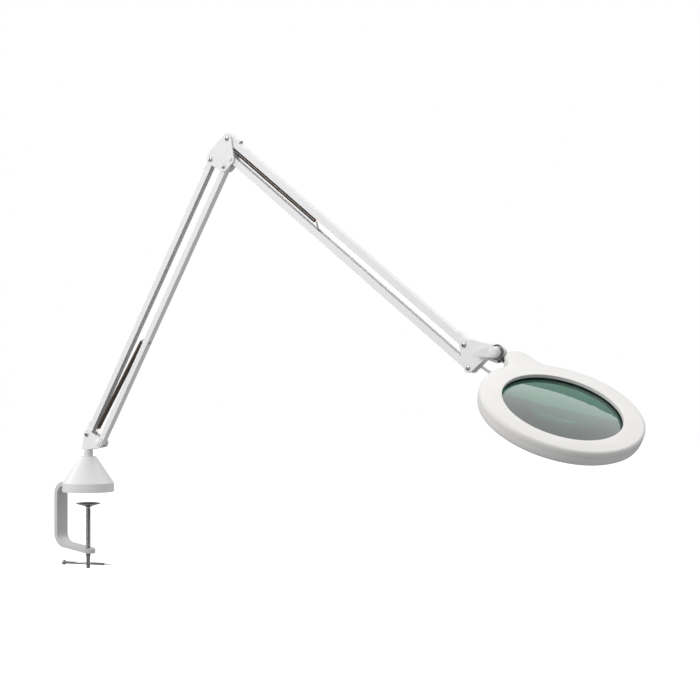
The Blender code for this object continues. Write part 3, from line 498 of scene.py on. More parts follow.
EDGES = {"clamp_frame": 1.0, "base_yoke": 0.5, "swivel_block": 1.1, "base_cone": 0.35,
         "elbow_front_plate": 0.5, "elbow_rear_plate": 0.5, "bracket_front_plate": 0.5,
         "bracket_rear_plate": 0.5, "neck_shaft": 0.5, "touch_board": 0.15,
         "lower_outer_bar": 0.28, "lower_inner_bar": 0.28, "upper_top_bar": 0.28, "upper_bottom_bar": 0.28,
         "lower_base_hood": 0.25, "lower_elbow_hood": 0.25, "upper_elbow_hood": 0.25, "upper_head_hood": 0.25,
         "head_bottom_shell": 0.0, "head_top_shell": 0.0}
LOOK_OF = {"head_top_shell": "head_shell", "head_bottom_shell": "head_shell", "base_cone": "cone_shell",
           "lens_retainer": "head_shell", "elbow_rivet_b": "white_paint"}
SOFTEN = {"wing_knob": (0.00030, 14)}


def piece(name, bm, look, parent=None, at=(0, 0, 0), sharp=36.0, node=None, ride=True):
    """A finished piece in place of its CAD node, on the same body."""
    node = node or name
    bmesh.ops.remove_doubles(bm, verts=bm.verts, dist=1e-6)
    if name not in SOFTEN:
        bmesh.ops.dissolve_limit(bm, angle_limit=math.radians(0.6), verts=bm.verts, edges=bm.edges,
                                 delimit=set())
    obj = as_object("v_" + name, bm)
    width = EDGES.get(name, 0.0)
    if width:
        mod = obj.modifiers.new("edge", "BEVEL")
        mod.width = width * MM
        mod.segments = 3
        mod.limit_method = "ANGLE"
        mod.angle_limit = math.radians(38)
        mod.use_clamp_overlap = True
        mod.harden_normals = False
        settle(obj)
    if name in SOFTEN:
        voxel, rounds = SOFTEN[name]
        mod = obj.modifiers.new("mould", "REMESH")
        mod.mode = "VOXEL"
        mod.voxel_size = voxel
        mod = obj.modifiers.new("even", "SMOOTH")
        mod.iterations = rounds
        mod.factor = 0.5
        settle(obj)
    obj.data.materials.clear()
    obj.data.materials.append(LOOKS[LOOK_OF.get(name, look)])
    obj.data.shade_smooth()
    if name not in SOFTEN:
        obj.data.set_sharp_from_angle(angle=math.radians(sharp))
        if width:
            mod = obj.modifiers.new("flats", "WEIGHTED_NORMAL")
            mod.mode = "FACE_AREA"
            mod.weight = 90
            mod.keep_sharp = True
            settle(obj)
    place = (parent if parent is not None else Matrix.Identity(4)) @ Matrix.Translation(Vector(at) * MM)
    obj.data.transform(place)
    if ride:
        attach(obj, BODY_OF[node])
    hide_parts(node)
    return obj


# ==================================================================== clamp
root = empty("axis_base", (0, 0, 0))

# The clamp is one flat bar bent to a C, rounded at both ends about the screw.
half_t = CLAMP_THICK / 2
top_bend, low_bend = 19.0, 22.0
slope = math.radians(CLAMP_LOW_SLOPE)
top_c = (CLAMP_SPINE_X + top_bend, CLAMP_TOP_Z - top_bend)
low_cx = CLAMP_SPINE_X + low_bend
foot_x = low_cx - low_bend * math.sin(slope)
foot_z = CLAMP_LOW_Z - math.tan(slope) * foot_x
low_c = (low_cx, foot_z + low_bend * math.cos(slope))
centre = [(CLAMP_WIDE, CLAMP_TOP_Z), (-20.0, CLAMP_TOP_Z)]
centre += bend(top_c[0], top_c[1], top_bend, 90, 180)
centre += bend(low_c[0], low_c[1], low_bend, 180, 270 - CLAMP_LOW_SLOPE)
centre += [(CLAMP_WIDE, CLAMP_LOW_Z - math.tan(slope) * CLAMP_WIDE)]
hw = CLAMP_WIDE / 2
bar_body = prism([ribbon(centre, half_t)], -CLAMP_WIDE, CLAMP_WIDE, "Y")
plan = [(-90, -hw), (0, -hw)] + bend(0, 0, hw, -90, 90, 12)[1:-1] + [(0, hw), (-90, hw)]
bar_body = combine(bar_body, [prism([plan], -140, 40, "Z")], "INTERSECT")
jaw = lathe([(0, 0), (JAW_R - 0.8, 0), (JAW_R, 0.8), (JAW_R, 9.2), (0, 9.2)], 24)
bar_body = combine(bar_body, [jaw], "UNION")
bar_body = combine(bar_body, [lathe([(0, -130), (SCREW_R + GAP, -130), (SCREW_R + GAP, -80), (0, -80)], 20)],
                "DIFFERENCE")
piece("clamp_frame", bar_body, "grey_casting", root)

# Base cover: a straight skirt and a hollow cone, notched for the clamp arm.
flare = (CONE_SKIRT_R - CONE_TOP_R) / (CONE_TOP_Z - CONE_SKIRT_Z)
w = CONE_WALL
cone = lathe([(CONE_SKIRT_R, 0), (CONE_SKIRT_R, CONE_SKIRT_Z - 1.0),
              (CONE_SKIRT_R - 0.5, CONE_SKIRT_Z + 0.6),
              (CONE_TOP_R + 0.8, CONE_TOP_Z - 1.0), (CONE_TOP_R, CONE_TOP_Z),
              (7.4, CONE_TOP_Z), (7.4, CONE_TOP_Z - w - 1.0),
              (CONE_TOP_R - 2.0, CONE_TOP_Z - w - 1.0),
              (CONE_SKIRT_R - w, CONE_SKIRT_Z - 1.0), (CONE_SKIRT_R - w, 0)], 32)
notch = prism([box(-60, -30, -(hw + 0.6), hw + 0.6)], -5, CLAMP_TOP_Z + half_t + 0.6, "Z")
cone = combine(cone, [notch], "DIFFERENCE")
piece("base_cone", cone, "white_shell", root)

# Nylon socket for the spigot, standing on the clamp arm, its collar on the cone.
piece("socket_bushing", lathe([
    (5.3, CLAMP_TOP_Z + half_t + GAP), (7.1, CLAMP_TOP_Z + half_t + GAP), (7.1, CONE_TOP_Z + GAP),
    (8.3, CONE_TOP_Z + GAP), (8.3, 67.4), (7.9, 67.8), (5.3, 67.8)], 20), "nylon", root)

# ------------------------------------------------------- pad, screw, tommy bar
travel = empty("axis_clamp_travel", (0, 0, -19.5))
piece("clamp_pad", lathe([
    (0, -2.0), (16.3, -2.0), (16.3, 0.0), (PAD_R - 1.0, -0.4), (PAD_R, -1.0), (PAD_R, -1.7),
    (12.0, -4.4), (6.6, -6.2), (5.6, -7.2), (3.9, -7.2), (3.9, -4.2), (0, -4.2)], 24),
    "chrome", travel)
piece("pad_insert", lathe([(0, -1.7), (16.0, -1.7), (16.0, -0.3), (15.4, 0.1), (0, 0.1)], 24),
      "black_rubber", travel)

turn = empty("axis_screw_turn", (0, 0, -19.5 - 4.5))
z0 = -24.0
screw = lathe([(0, -24.1 - z0), (3.0, -24.1 - z0), (3.5, -24.6 - z0), (3.5, -28.6 - z0),
               (3.9, -29.4 - z0), (3.6, -30.6 - z0), (3.6, -113.2 - z0),
               (3.9, -114.5 - z0), (3.3, -115.2 - z0),
               (3.3, -133.2 - z0), (2.7, -134.0 - z0), (0, -134.2 - z0)], 16)
direction = Vector((math.cos(math.radians(TOMMY_TURN)), math.sin(math.radians(TOMMY_TURN)), 0))
drill = lathe([(0, -20), (TOMMY_R + 0.3, -20), (TOMMY_R + 0.3, 20), (0, 20)], 16, "X")
bmesh.ops.rotate(drill, verts=drill.verts, matrix=Matrix.Rotation(math.radians(TOMMY_TURN), 3, "Z"))
shift(drill, 0, 0, TOMMY_Z - z0)
piece("clamp_screw", combine(screw, [drill], "DIFFERENCE"), "chrome", turn)
THREAD = (-30.6, -113.2)
PITCH = 2.0
rows, around = int((THREAD[0] - THREAD[1]) / 0.2), 40
bm = bmesh.new()
grid = []
for i in range(rows + 1):
    z = THREAD[0] + (THREAD[1] - THREAD[0]) * i / rows
    ring = []
    for k in range(around):
        phase = ((z / PITCH) - k / around) % 1.0
        h = min(1.0, max(0.0, 1.35 - abs(phase - 0.5) * 3.2))
        fade = min(1.0, i / 6, (rows - i) / 6)
        r = 3.72 + (SCREW_R - 3.72) * h * fade
        a = math.tau * k / around
        ring.append(bm.verts.new(Vector((r * math.cos(a), r * math.sin(a), z - z0)) * MM))
    grid.append(ring)
for a, b in zip(grid, grid[1:]):
    for k in range(around):
        bm.faces.new((a[k], a[(k + 1) % around], b[(k + 1) % around], b[k]))
bm.faces.new(grid[0])
bm.faces.new(grid[-1])
bmesh.ops.recalc_face_normals(bm, faces=bm.faces)
thread = as_object("v_clamp_thread", bm)
thread.data.materials.append(LOOKS["chrome"])
thread.data.shade_smooth()
thread.data.set_sharp_from_angle(angle=math.radians(60))
thread.data.transform(turn)
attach(thread, "screw")

slide = empty("axis_tommy_slide", (0, 0, TOMMY_Z), (0, 0, TOMMY_TURN))
knob = [(4.35 * math.sin(math.radians(a)), -47.8 - 4.35 * math.cos(math.radians(a)))
        for a in range(0, 141, 28)]
bar = [(0, knob[0][1])] + knob[1:] + [(TOMMY_R, -43.6), (TOMMY_R, 28.6), (2.6, 29.4), (2.6, 31.0),
                                      (1.2, 32.4), (0.8, 42.4), (0, 42.9)]
piece("tommy_bar", lathe(bar, 16, "X"), "chrome", slide)

# ================================================================ base yoke
yoke_axis = empty("axis_base_swivel", (0, 0, 0))
cheek = hull(circle(C0[0], C0[1], 7.8, 24), circle(D0[0], D0[1], 8.6, 24),
             [(-6.5, 78.0), (8.3, 74.0), (-8.0, 73.0)])
yoke = prism([cheek, circle(*C0, HOLE_R, 12), circle(*D0, HOLE_R, 12)], -PLATE_OUT, PLATE_OUT)
yoke = combine(yoke, [prism([box(-40, 70, 78.5, 130)], -PLATE_IN, PLATE_IN)], "DIFFERENCE")
stem = lathe([(0, 17.5), (4.2, 17.5), (5.0, 18.6), (5.0, 68.1), (8.3, 68.1), (8.3, 77.0), (0, 77.0)], 20)
yoke = combine(yoke, [stem], "UNION")
piece("base_yoke", yoke, "white_paint", yoke_axis)


RECESS_TURN = {"base_pivot": 12, "elbow_pivot_c": 40, "elbow_pivot_a": 8, "head_pivot": 30}


def screw_and_nut(name, at, body, origin, head_look="nickel", head_r=4.3, head_t=1.9):
    """A pivot screw through both side plates, and the nut behind it."""
    y = PLATE_OUT + GAP
    x, z = at[0] - origin[0], at[1] - origin[1]
    dome = [(head_r * math.sin(math.radians(a)), -y - head_t * 0.35 - head_t * 0.65 * math.cos(math.radians(a)))
            for a in range(15, 91, 15)]
    shank = lathe([(0, -y - head_t)] + dome + [
        (head_r, -y - 0.15), (head_r - 0.15, -y),
        (PIVOT_R, -y), (PIVOT_R, y + 3.4), (PIVOT_R - 0.5, y + 3.9), (0, y + 3.9)], 16, "Y")
    turned = math.radians(RECESS_TURN.get(name, 20))
    cuts = []
    for k in (0, 1):
        wing = prism([hull(circle(-1.9, 0, 0.42, 6), circle(1.9, 0, 0.42, 6))], -y - head_t - 1, -y - head_t + 1.15)
        bmesh.ops.rotate(wing, verts=wing.verts, matrix=Matrix.Rotation(turned + k * math.pi / 2, 3, "Y"))
        cuts.append(wing)
    made = piece(name + "_screw", combine(shank, cuts, "DIFFERENCE"), head_look, body, (x, 0, z))
    # The faces inside the cross recess get near-black painted shade in place of the head's metal.
    made.data.materials.append(LOOKS["recess_painted_shade"])
    for face in made.data.polygons:
        c = face.center / MM
        if (-y - head_t + 0.30 < c.y < -y - head_t + 1.30
                and math.hypot(c.x - at[0], c.z - at[1]) < 2.5):
            face.material_index = 1
    nut = prism([circle(0, 0, 4.2, 6), circle(0, 0, HOLE_R, 12)], y, y + 3.0)
    chamfer = lathe([(0, y - 1), (3.75, y - 1), (3.75, y), (4.25, y + 0.45), (4.25, y + 2.55),
                     (3.7, y + 3.0), (3.7, y + 4), (0, y + 4)], 16, "Y")
    piece(name + "_nut", combine(nut, [chamfer], "INTERSECT"), "nickel", body, (x, 0, z))


def rivet(name, at, body, origin, look="nickel", head_r=4.0, head_t=1.5):
    """A shouldered rivet, closed on both sides of the plates."""
    y = PLATE_OUT + GAP
    dome = [(head_r * math.sin(math.radians(a)), -y - head_t * 0.25 - head_t * 0.75 * math.cos(math.radians(a)))
            for a in range(12, 91, 13)]
    tail = [(4.0 * math.cos(math.radians(a)), y + 0.3 + 1.2 * math.sin(math.radians(a))) for a in range(0, 85, 14)]
    piece(name, lathe([(0, -y - head_t)] + dome + [(head_r, -y), (PIVOT_R, -y), (PIVOT_R, y), (4.0, y)]
                      + tail + [(0, y + 1.5)], 16, "Y"),
          look, body, (at[0] - origin[0], 0, at[1] - origin[1]))


screw_and_nut("base_pivot", C0, yoke_axis, (0, 0))
rivet("base_boss_rivet", D0, yoke_axis, (0, 0), "white_paint", 6.2, 2.4)
LOWER_SPRING_PIN = ((C0[0] + D0[0]) / 2, (C0[1] + D0[1]) / 2)
piece("lower_spring_pin", lathe([(0, -5.3), (1.5, -5.3), (1.5, 5.3), (0, 5.3)], 12, "Y"), "nickel",
      yoke_axis, (LOWER_SPRING_PIN[0], 0, LOWER_SPRING_PIN[1]))


# =============================================================== arm bars
def channel(length, high, side, stud=None):
    """A pressed U channel with round ends, open away from `side`."""
    r = high / 2
    outline = hull(circle(0, 0, r, 16), circle(length, 0, r, 16))
    bm = prism([outline, circle(0, 0, HOLE_R, 10), circle(length, 0, HOLE_R, 10)],
               -BAR_WIDE / 2, BAR_WIDE / 2)
    w = BAR_WIDE / 2 - BAR_SHEET
    floor_z = side * (r - BAR_SHEET)
    z = sorted((floor_z, -side * 40))
    cuts = [prism([box(-30, length + 30, z[0], z[1])], -w, w)]
    if stud:
        cuts.append(lathe([(0, -12), (1.9, -12), (1.9, 12), (0, 12)], 12, "Z", (stud, 0, side * r)))
    return combine(bm, cuts, "DIFFERENCE")


def hood(high, rise, side, start, end):
    """A half-round cover on the outside of a bar, open at its ends."""
    half = BAR_WIDE / 2
    base = high / 2 + GAP
    t = 0.9
    n = 8
    outer = [(half * math.cos(math.pi * k / n), side * (base + rise * math.sin(math.pi * k / n)))
             for k in range(n + 1)]
    inner = [((half - t) * math.cos(math.pi * k / n),
              side * (base + (rise - t) * math.sin(math.pi * k / n))) for k in range(n, -1, -1)]
    return prism([outer + inner], start, end, "X")


def stud(high, side, reach):
    """The spring's anchor, through the bar's web."""
    r = high / 2
    w = r - BAR_SHEET - GAP
    prof = [(0, r + 1.5), (1.9, r + 1.5), (2.7, r + 0.8), (2.7, r + GAP), (1.5, r + GAP),
            (1.5, -reach), (0, -reach)]
    if side < 0:
        prof = [(a, -b) for a, b in prof]
    return lathe(prof, 12)


lower_turn, upper_turn = -LOWER_RISE, UPPER_DROP
LOWER_STUD = 208.8             # along the inner bar
UPPER_STUD = 224.3             # along the bottom bar

outer_axis = empty("axis_lower_tilt", (C0[0], 0, C0[1]), (0, lower_turn, 0))
piece("lower_outer_bar", channel(LOWER_ARM, LOWER_BAR_HIGH, 1), "white_paint", outer_axis)
piece("lower_base_hood", hood(LOWER_BAR_HIGH, 5.6, 1, 1.0, 19.5), "white_paint", outer_axis)
piece("lower_elbow_hood", hood(LOWER_BAR_HIGH, 5.6, 1, LOWER_ARM - 26.0, LOWER_ARM - 8.0),
      "white_paint", outer_axis)

inner_axis = empty("axis_lower_link", (D0[0], 0, D0[1]), (0, lower_turn, 0))
piece("lower_inner_bar", channel(LOWER_ARM, LOWER_BAR_HIGH, -1, LOWER_STUD), "white_paint", inner_axis)
piece("lower_spring_stud", stud(LOWER_BAR_HIGH, -1, 6.5), "nickel", inner_axis, (LOWER_STUD, 0, 0))


def arm_point(origin, angle, x, z):
    """World X, Z of a point measured along and across an arm."""
    a = math.radians(angle)
    return (origin[0] + x * math.cos(a) - z * math.sin(a), origin[1] + x * math.sin(a) + z * math.cos(a))


def arm_local(origin, angle, p):
    a = math.radians(angle)
    dx, dz = p[0] - origin[0], p[1] - origin[1]
    return (dx * math.cos(a) + dz * math.sin(a), 0.0, -dx * math.sin(a) + dz * math.cos(a))


def spring(name, frame_of, route, coil_r, wire_r, look, hook_r=0.0):
    """A close-wound tension spring with a drawn-out hook at each end.

    Its coils run straight from start to end, and each hook leads from its end of the coil to its anchor.
    """
    (hx, hz), (sx, sz), (ex, ez), (kx, kz) = route
    L = math.hypot(ex - sx, ez - sz)
    ux, uz = (ex - sx) / L, (ez - sz) / L
    mean = coil_r - wire_r
    pitch = 2 * wire_r * 1.06
    lead_in = 3.0
    turns = int((L - 2 * lead_in) / pitch)
    first = (L - turns * pitch) / 2
    steps = 14
    pts = []

    def place(d, ox, oy):
        return Vector((sx + ux * d - uz * ox, oy, sz + uz * d + ux * ox))

    pts.append(Vector((hx, 0, hz)))
    pts.append(Vector((hx + (sx - hx) * 0.5, 0, hz + (sz - hz) * 0.5)))
    pts.append(place(0.0, 0.0, 0.0))
    pts.append(place(first * 0.5, mean * 0.45, 0.0))
    for k in range(turns * steps + 1):
        a = math.tau * k / steps
        grow = min(1.0, k / (steps * 0.75), (turns * steps - k) / (steps * 0.75))
        m = mean * (0.80 + 0.20 * max(0.0, grow))
        pts.append(place(first + pitch * k / steps, m * math.cos(a), m * math.sin(a)))
    pts.append(place(L - first * 0.5, mean * 0.45, 0.0))
    pts.append(place(L, 0.0, 0.0))
    pts.append(Vector((kx, 0, kz)))
    world = [(frame_of @ (p * MM)) / MM for p in pts]
    last = len(world) - 1
    obj = tube("v_" + name, world, lambda t: hook_r if hook_r and t * last > last - 1.5 else wire_r, look, 7)
    if hook_r:
        obj.data.materials.append(LOOKS["copper_wire"])
        for face in obj.data.polygons:
            if min((face.center / MM - w).length for w in world[-2:]) < 2.0 * hook_r:
                face.material_index = 1
    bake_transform(obj)
    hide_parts(name)
    return obj


# Lower spring: from the pin in the yoke up to the inner bar.
p_start = arm_local(D0, LOWER_RISE, arm_point(C0, LOWER_RISE, 17.5, -11.1))
p_end = arm_local(D0, LOWER_RISE, arm_point(C0, LOWER_RISE, 209.0, -21.4))
p_pin = arm_local(D0, LOWER_RISE, LOWER_SPRING_PIN)
dx, dz = p_start[0] - p_pin[0], p_start[2] - p_pin[2]
d = math.hypot(dx, dz)
hook0 = (p_pin[0] + dx / d * 2.8, p_pin[2] + dz / d * 2.8)
spring("lower_spring", inner_axis, (hook0, (p_start[0], p_start[2]), (p_end[0], p_end[2]),
                                    (LOWER_STUD + 1.0, 7.9)), 4.0, 0.62,
       "spring_steel")

# ==================================================================== elbow
elbow = empty("axis_elbow", (C[0], 0, C[1]))
plate = hull(circle(*C, 8.6, 20), circle(C[0] + 1.5, C[1] + 8.2, 6.0, 20), circle(*D, 8.6, 20), circle(*B, 8.2, 20), circle(*A, 8.6, 20))
plate = [(x - C[0], z - C[1]) for x, z in plate]
holes = [circle(p[0] - C[0], p[1] - C[1], HOLE_R, 12) for p in (A, B, C, D)]
piece("elbow_front_plate", prism([plate] + holes, -PLATE_OUT, -PLATE_IN), "white_paint", elbow)
piece("elbow_rear_plate", prism([plate] + holes, PLATE_IN, PLATE_OUT), "white_paint", elbow)
screw_and_nut("elbow_pivot_c", C, elbow, C)
rivet("elbow_rivet_d", D, elbow, C)
screw_and_nut("elbow_pivot_a", A, elbow, C)
rivet("elbow_rivet_b", B, elbow, C)
UPPER_SPRING_PIN = ((A[0] + B[0]) / 2, (A[1] + B[1]) / 2)
piece("upper_spring_pin", lathe([(0, -5.3), (1.5, -5.3), (1.5, 5.3), (0, 5.3)], 12, "Y"), "nickel",
      elbow, (UPPER_SPRING_PIN[0] - C[0], 0, UPPER_SPRING_PIN[1] - C[1]))

top_axis = empty("axis_upper_tilt", (A[0], 0, A[1]), (0, upper_turn, 0))
piece("upper_top_bar", channel(UPPER_ARM, UPPER_BAR_HIGH, 1), "white_paint", top_axis)
piece("upper_elbow_hood", hood(UPPER_BAR_HIGH, 4.8, 1, 5.0, 25.0), "white_paint", top_axis)
piece("upper_head_hood", hood(UPPER_BAR_HIGH, 3.6, 1, UPPER_ARM - 24.0, UPPER_ARM + 2.5),
      "white_paint", top_axis)

bottom_axis = empty("axis_upper_link", (B[0], 0, B[1]), (0, upper_turn, 0))
piece("upper_bottom_bar", channel(UPPER_ARM, UPPER_BAR_HIGH, -1, UPPER_STUD), "white_paint", bottom_axis)
piece("upper_spring_stud", stud(UPPER_BAR_HIGH, -1, 1.5), "nickel", bottom_axis, (UPPER_STUD, 0, 0))

p_start = arm_local(B, -UPPER_DROP, arm_point(A, -UPPER_DROP, 22.5, -10.4))
p_end = arm_local(B, -UPPER_DROP, arm_point(A, -UPPER_DROP, 236.0, -10.4))
p_pin = arm_local(B, -UPPER_DROP, UPPER_SPRING_PIN)
dx, dz = p_start[0] - p_pin[0], p_start[2] - p_pin[2]
d = math.hypot(dx, dz)
hook0 = (p_pin[0] + dx / d * 2.8, p_pin[2] + dz / d * 2.8)
spring("upper_spring", bottom_axis, (hook0, (p_start[0], p_start[2]), (p_end[0], p_end[2]),
                                     (UPPER_STUD, 2.9)), 3.7, 0.58,
       "spring_steel", 1.2)

# ============================================================ head bracket
bracket = empty("axis_head_level", (A1[0], 0, A1[1]))
side = hull(circle(*A1, 8.5, 20), circle(*B1, 7.6, 20), circle(T[0] - 7.0, T[1] + 7.0, 4.0, 16))
side = [(x - A1[0], z - A1[1]) for x, z in side]


# The front plate has a round nose that carries the tilt bolt; the rear plate
# stops short of it, so that the swivel block can be put in from behind.
front = prism([side], -PLATE_OUT, -PLATE_IN)
front = combine(front, [prism([circle(T[0] - A1[0], T[1] - A1[1], 8.6, 28)], -PLATE_OUT, -PLATE_IN)], "UNION")
drills = [prism([circle(p[0] - A1[0], p[1] - A1[1], r, 14)], -PLATE_OUT - 2, -PLATE_IN + 2)
          for p, r in ((A1, HOLE_R), (B1, HOLE_R), (T, 3.3))]
piece("bracket_front_plate", combine(front, drills, "DIFFERENCE"), "white_paint", bracket)
back_side = hull(circle(*A1, 8.5, 20), circle(*B1, 7.6, 20), circle(T[0] - 15.0, T[1] + 5.0, 4.0, 16))
back_side = [(x - A1[0], z - A1[1]) for x, z in back_side]
holes = [circle(p[0] - A1[0], p[1] - A1[1], HOLE_R, 12) for p in (A1, B1)]
piece("bracket_rear_plate", prism([back_side] + holes, PLATE_IN, PLATE_OUT), "white_paint", bracket)
screw_and_nut("head_pivot", A1, bracket, A1)
rivet("head_rivet", B1, bracket, A1)
tx, tz = T[0] - A1[0], T[1] - A1[1]
piece("tilt_bolt", lathe([
    (0, -20.5), (2.4, -20.5), (3.0, -19.9), (3.0, 5.6), (5.2, 5.6), (5.2, 7.6), (4.4, 8.4), (0, 8.4)],
    16, "Y"), "chrome", bracket, (tx, 0, tz))
piece("tilt_washer", lathe([(3.3, -10.4), (11.3, -10.4), (11.9, -9.9), (11.9, -8.5), (3.3, -8.5)],
                           32, "Y"), "chrome", bracket, (tx, 0, tz))

# Wing knob on the front of the tilt bolt.
knob_axis = empty("axis_tilt_knob", (T[0], 0, T[1]))
hub = lathe([(3.3, -10.8), (7.6, -10.8), (8.4, -11.6), (8.6, -17.5), (7.6, -20.9), (4.8, -22.2),
             (0, -22.4), (0, -20.9), (3.3, -20.9)], 20, "Y")
wing = prism([hull(circle(0, 0, 7.8, 20), circle(-12.0, 1.2, 6.6, 16), circle(-34.2, -3.6, 2.6, 14))],
             -21.0, -14.5)
piece("wing_knob", combine(hub, [combine(wing, [lathe([(0, -20.9), (4.5, -20.9), (4.5, -10), (0, -10)], 16, "Y")],
                                         "DIFFERENCE")], "UNION"), "white_shell", knob_axis)

# Swivel block: turns on the tilt bolt and takes the neck.
block_axis = empty("axis_head_tilt", (T[0], 0, T[1]))
nx, nz = NECK_FROM_TILT


def neck_xz(x, z):
    """Along and across the neck, from its socket face, seen from the tilt axis."""
    a = math.radians(NECK_SLOPE)
    return (nx + x * math.cos(a) + z * math.sin(a), nz - x * math.sin(a) + z * math.cos(a))


block = prism([hull(circle(0, 0, 7.2, 24), [neck_xz(0, 6.4), neck_xz(0, -6.6), neck_xz(-0.8, -7.0),
                                            neck_xz(-15.0, -7.6), neck_xz(-16.0, -6.6), neck_xz(-16.0, 4.0)]),
               circle(0, 0, 3.3, 14)], -5.3, 5.3)
socket = lathe([(0, -12.5), (NECK_R + GAP, -12.5), (NECK_R + GAP, 0), (5.6, 0), (5.6, 20), (0, 20)], 16, "X")
bmesh.ops.rotate(socket, verts=socket.verts, matrix=Matrix.Rotation(math.radians(NECK_SLOPE), 3, "Y"))
shift(socket, nx, 0, nz)
piece("swivel_block", combine(block, [socket], "DIFFERENCE"), "white_shell", block_axis)
collar = lathe([(NECK_R + GAP, 0.3), (5.2, 0.3), (5.2, 1.9), (4.8, 2.3), (NECK_R + GAP, 2.3)], 20, "X")
bmesh.ops.rotate(collar, verts=collar.verts, matrix=Matrix.Rotation(math.radians(NECK_SLOPE), 3, "Y"))
piece("neck_washer", collar, "black_rubber", block_axis, (nx, 0, nz))

# Neck: a plated rod with a flat eye round the swivel pin.
head_turn = (Matrix.Rotation(math.radians(HEAD_YAW), 3, "Z")
             @ Matrix.Rotation(math.radians(HEAD_TILT), 3, "Y")
             @ Matrix.Rotation(math.radians(HEAD_SPIN), 3, "Z"))
neck_turn = Matrix.Rotation(math.radians(NECK_SLOPE), 3, "Y")
n_local = neck_turn.inverted() @ (head_turn @ Vector((0, 0, 1)))
neck_axis = empty("axis_neck_roll", (N0[0], 0, N0[1]), (0, NECK_SLOPE, 0))
rod = lathe([(0, -12.2), (NECK_R - 0.5, -12.2), (NECK_R, -11.6), (NECK_R, NECK_LENGTH - 5.0),
             (0, NECK_LENGTH - 5.0)], 20, "X")
eye = lathe([(0, -4.0), (7.0, -4.0), (7.0, 4.0), (0, 4.0)], 24)
bore = lathe([(0, -12.0), (3.3, -12.0), (3.3, 12.0), (0, 12.0)], 16)
lean = Vector((0, 0, 1)).rotation_difference(n_local).to_matrix()
for part in (eye, bore):
    bmesh.ops.rotate(part, verts=part.verts, matrix=lean)
    shift(part, NECK_LENGTH, 0, 0)
piece("neck_shaft", combine(combine(rod, [eye], "UNION"), [bore], "DIFFERENCE"), "chrome", neck_axis)

# ===================================================================== head
# Its axis empty stands on the swivel pin.  The pieces are drawn about the
# middle of the lens opening, in the plane of the top face.
head = Matrix.Translation(Vector((P[0], 0, P[1])) * MM) @ head_turn.to_4x4()
LENS_AT = (-BUMP_X, 0, NECK_DEPTH)


def ring_outline(inset=0.0, n_main=150, n_fillet=12, n_bump=48):
    """The ring's outline with its rounded lug, drawn in by `inset`."""
    R, r, f = HEAD_R, BUMP_R, BUMP_FILLET
    b = -BUMP_X
    cx = -((R + f) ** 2 - (r + f) ** 2 + b * b) / (2 * b)
    cy = math.sqrt((R + f) ** 2 - cx * cx)
    a_main = math.atan2(cy, cx)
    a_bump = math.atan2(cy, cx - BUMP_X)
    R, r, f = R - inset, r - inset, f + inset
    pts = []
    for k in range(n_main + 1):                      # round the ring, from below to above
        a = -a_main + 2 * a_main * k / n_main
        pts.append((R * math.cos(a), R * math.sin(a)))
    fillet0, fillet1 = a_main + math.pi, a_bump + math.pi
    for k in range(1, n_fillet):
        a = fillet0 + (fillet1 - fillet0) * k / n_fillet
        pts.append((cx + f * math.cos(a), cy + f * math.sin(a)))
    for k in range(n_bump + 1):
        a = a_bump + (math.tau - 2 * a_bump) * k / n_bump
        pts.append((BUMP_X + r * math.cos(a), r * math.sin(a)))
    for k in range(n_fillet - 1, 0, -1):
        a = fillet0 + (fillet1 - fillet0) * k / n_fillet
        pts.append((cx + f * math.cos(a), -(cy + f * math.sin(a))))
    return pts


def level(points, z):
    return [(x, y, z) for x, y in points]


OUT0 = ring_outline()
COUNT = len(OUT0)


def round_loop(r, z):
    """A circle whose points face the outline's, one to one."""
    angles = [math.atan2(y, x) for x, y in OUT0]
    return [(r * math.cos(a), r * math.sin(a), z) for a in angles]


pz = PARTING_Z
top = loft([
    round_loop(LENS_OPENING_R, -5.0), round_loop(LENS_OPENING_R, -0.5), round_loop(LENS_OPENING_R + 0.6, 0.0),
    level(ring_outline(4.5), 0.0), level(ring_outline(2.0), -0.5), level(ring_outline(0.5), -1.9),
    level(OUT0, -3.6), level(OUT0, pz), level(ring_outline(2.0), pz), level(ring_outline(2.2), -3.6),
    level(ring_outline(4.0), -2.2), round_loop(LENS_OPENING_R + 2.0, -2.2), round_loop(LENS_OPENING_R + 2.0, -5.0)])
piece("head_top_shell", top, "white_shell", head, LENS_AT)

low = -HEAD_THICK
bottom = loft([
    level(OUT0, pz - GAP), level(ring_outline(0.1), pz - 5.0), level(ring_outline(0.9), low + 6.0),
    level(ring_outline(2.6), low + 2.0), level(ring_outline(5.0), low), round_loop(107.4, low),
    round_loop(107.4, low + 2.0), level(ring_outline(6.2), low + 2.0), level(ring_outline(2.9), low + 6.0),
    level(ring_outline(2.0), pz - GAP)])
# Window in the lug for the neck, wide enough for the swivel, and screw holes.
gate = [(BUMP_X + r * math.cos(math.radians(a)), r * math.sin(math.radians(a)))
        for r, seq in ((13.0, range(112, 253, 2)), (26.0, range(252, 111, -2))) for a in seq]
cuts = [prism([gate], low + 1.6, 5, "Z"), prism([circle(GLAND_X, 0, 2.7, 16, 0.17)], low - 3, low + 4, "Z")]
SCREW_ANGLES = (40.0, 160.0, 280.0)
screw_at = [(110.4 * math.cos(math.radians(a)), 110.4 * math.sin(math.radians(a))) for a in SCREW_ANGLES]
cuts += [prism([circle(x, y, 2.4, 12, 0.1)], low - 3, low + 4, "Z") for x, y in screw_at]
piece("head_bottom_shell", combine(bottom, cuts, "DIFFERENCE"), "white_shell", head, LENS_AT)
for k, (x, y) in enumerate(screw_at):
    piece("housing_screw_%d" % (k + 1), lathe([
        (0, low + 0.4), (2.05, low + 0.4), (2.05, low + 1.6), (1.3, low + 2.6), (1.3, -13.0), (0, -13.0)], 12),
        "nickel", head, (LENS_AT[0] + x, y, LENS_AT[2]))

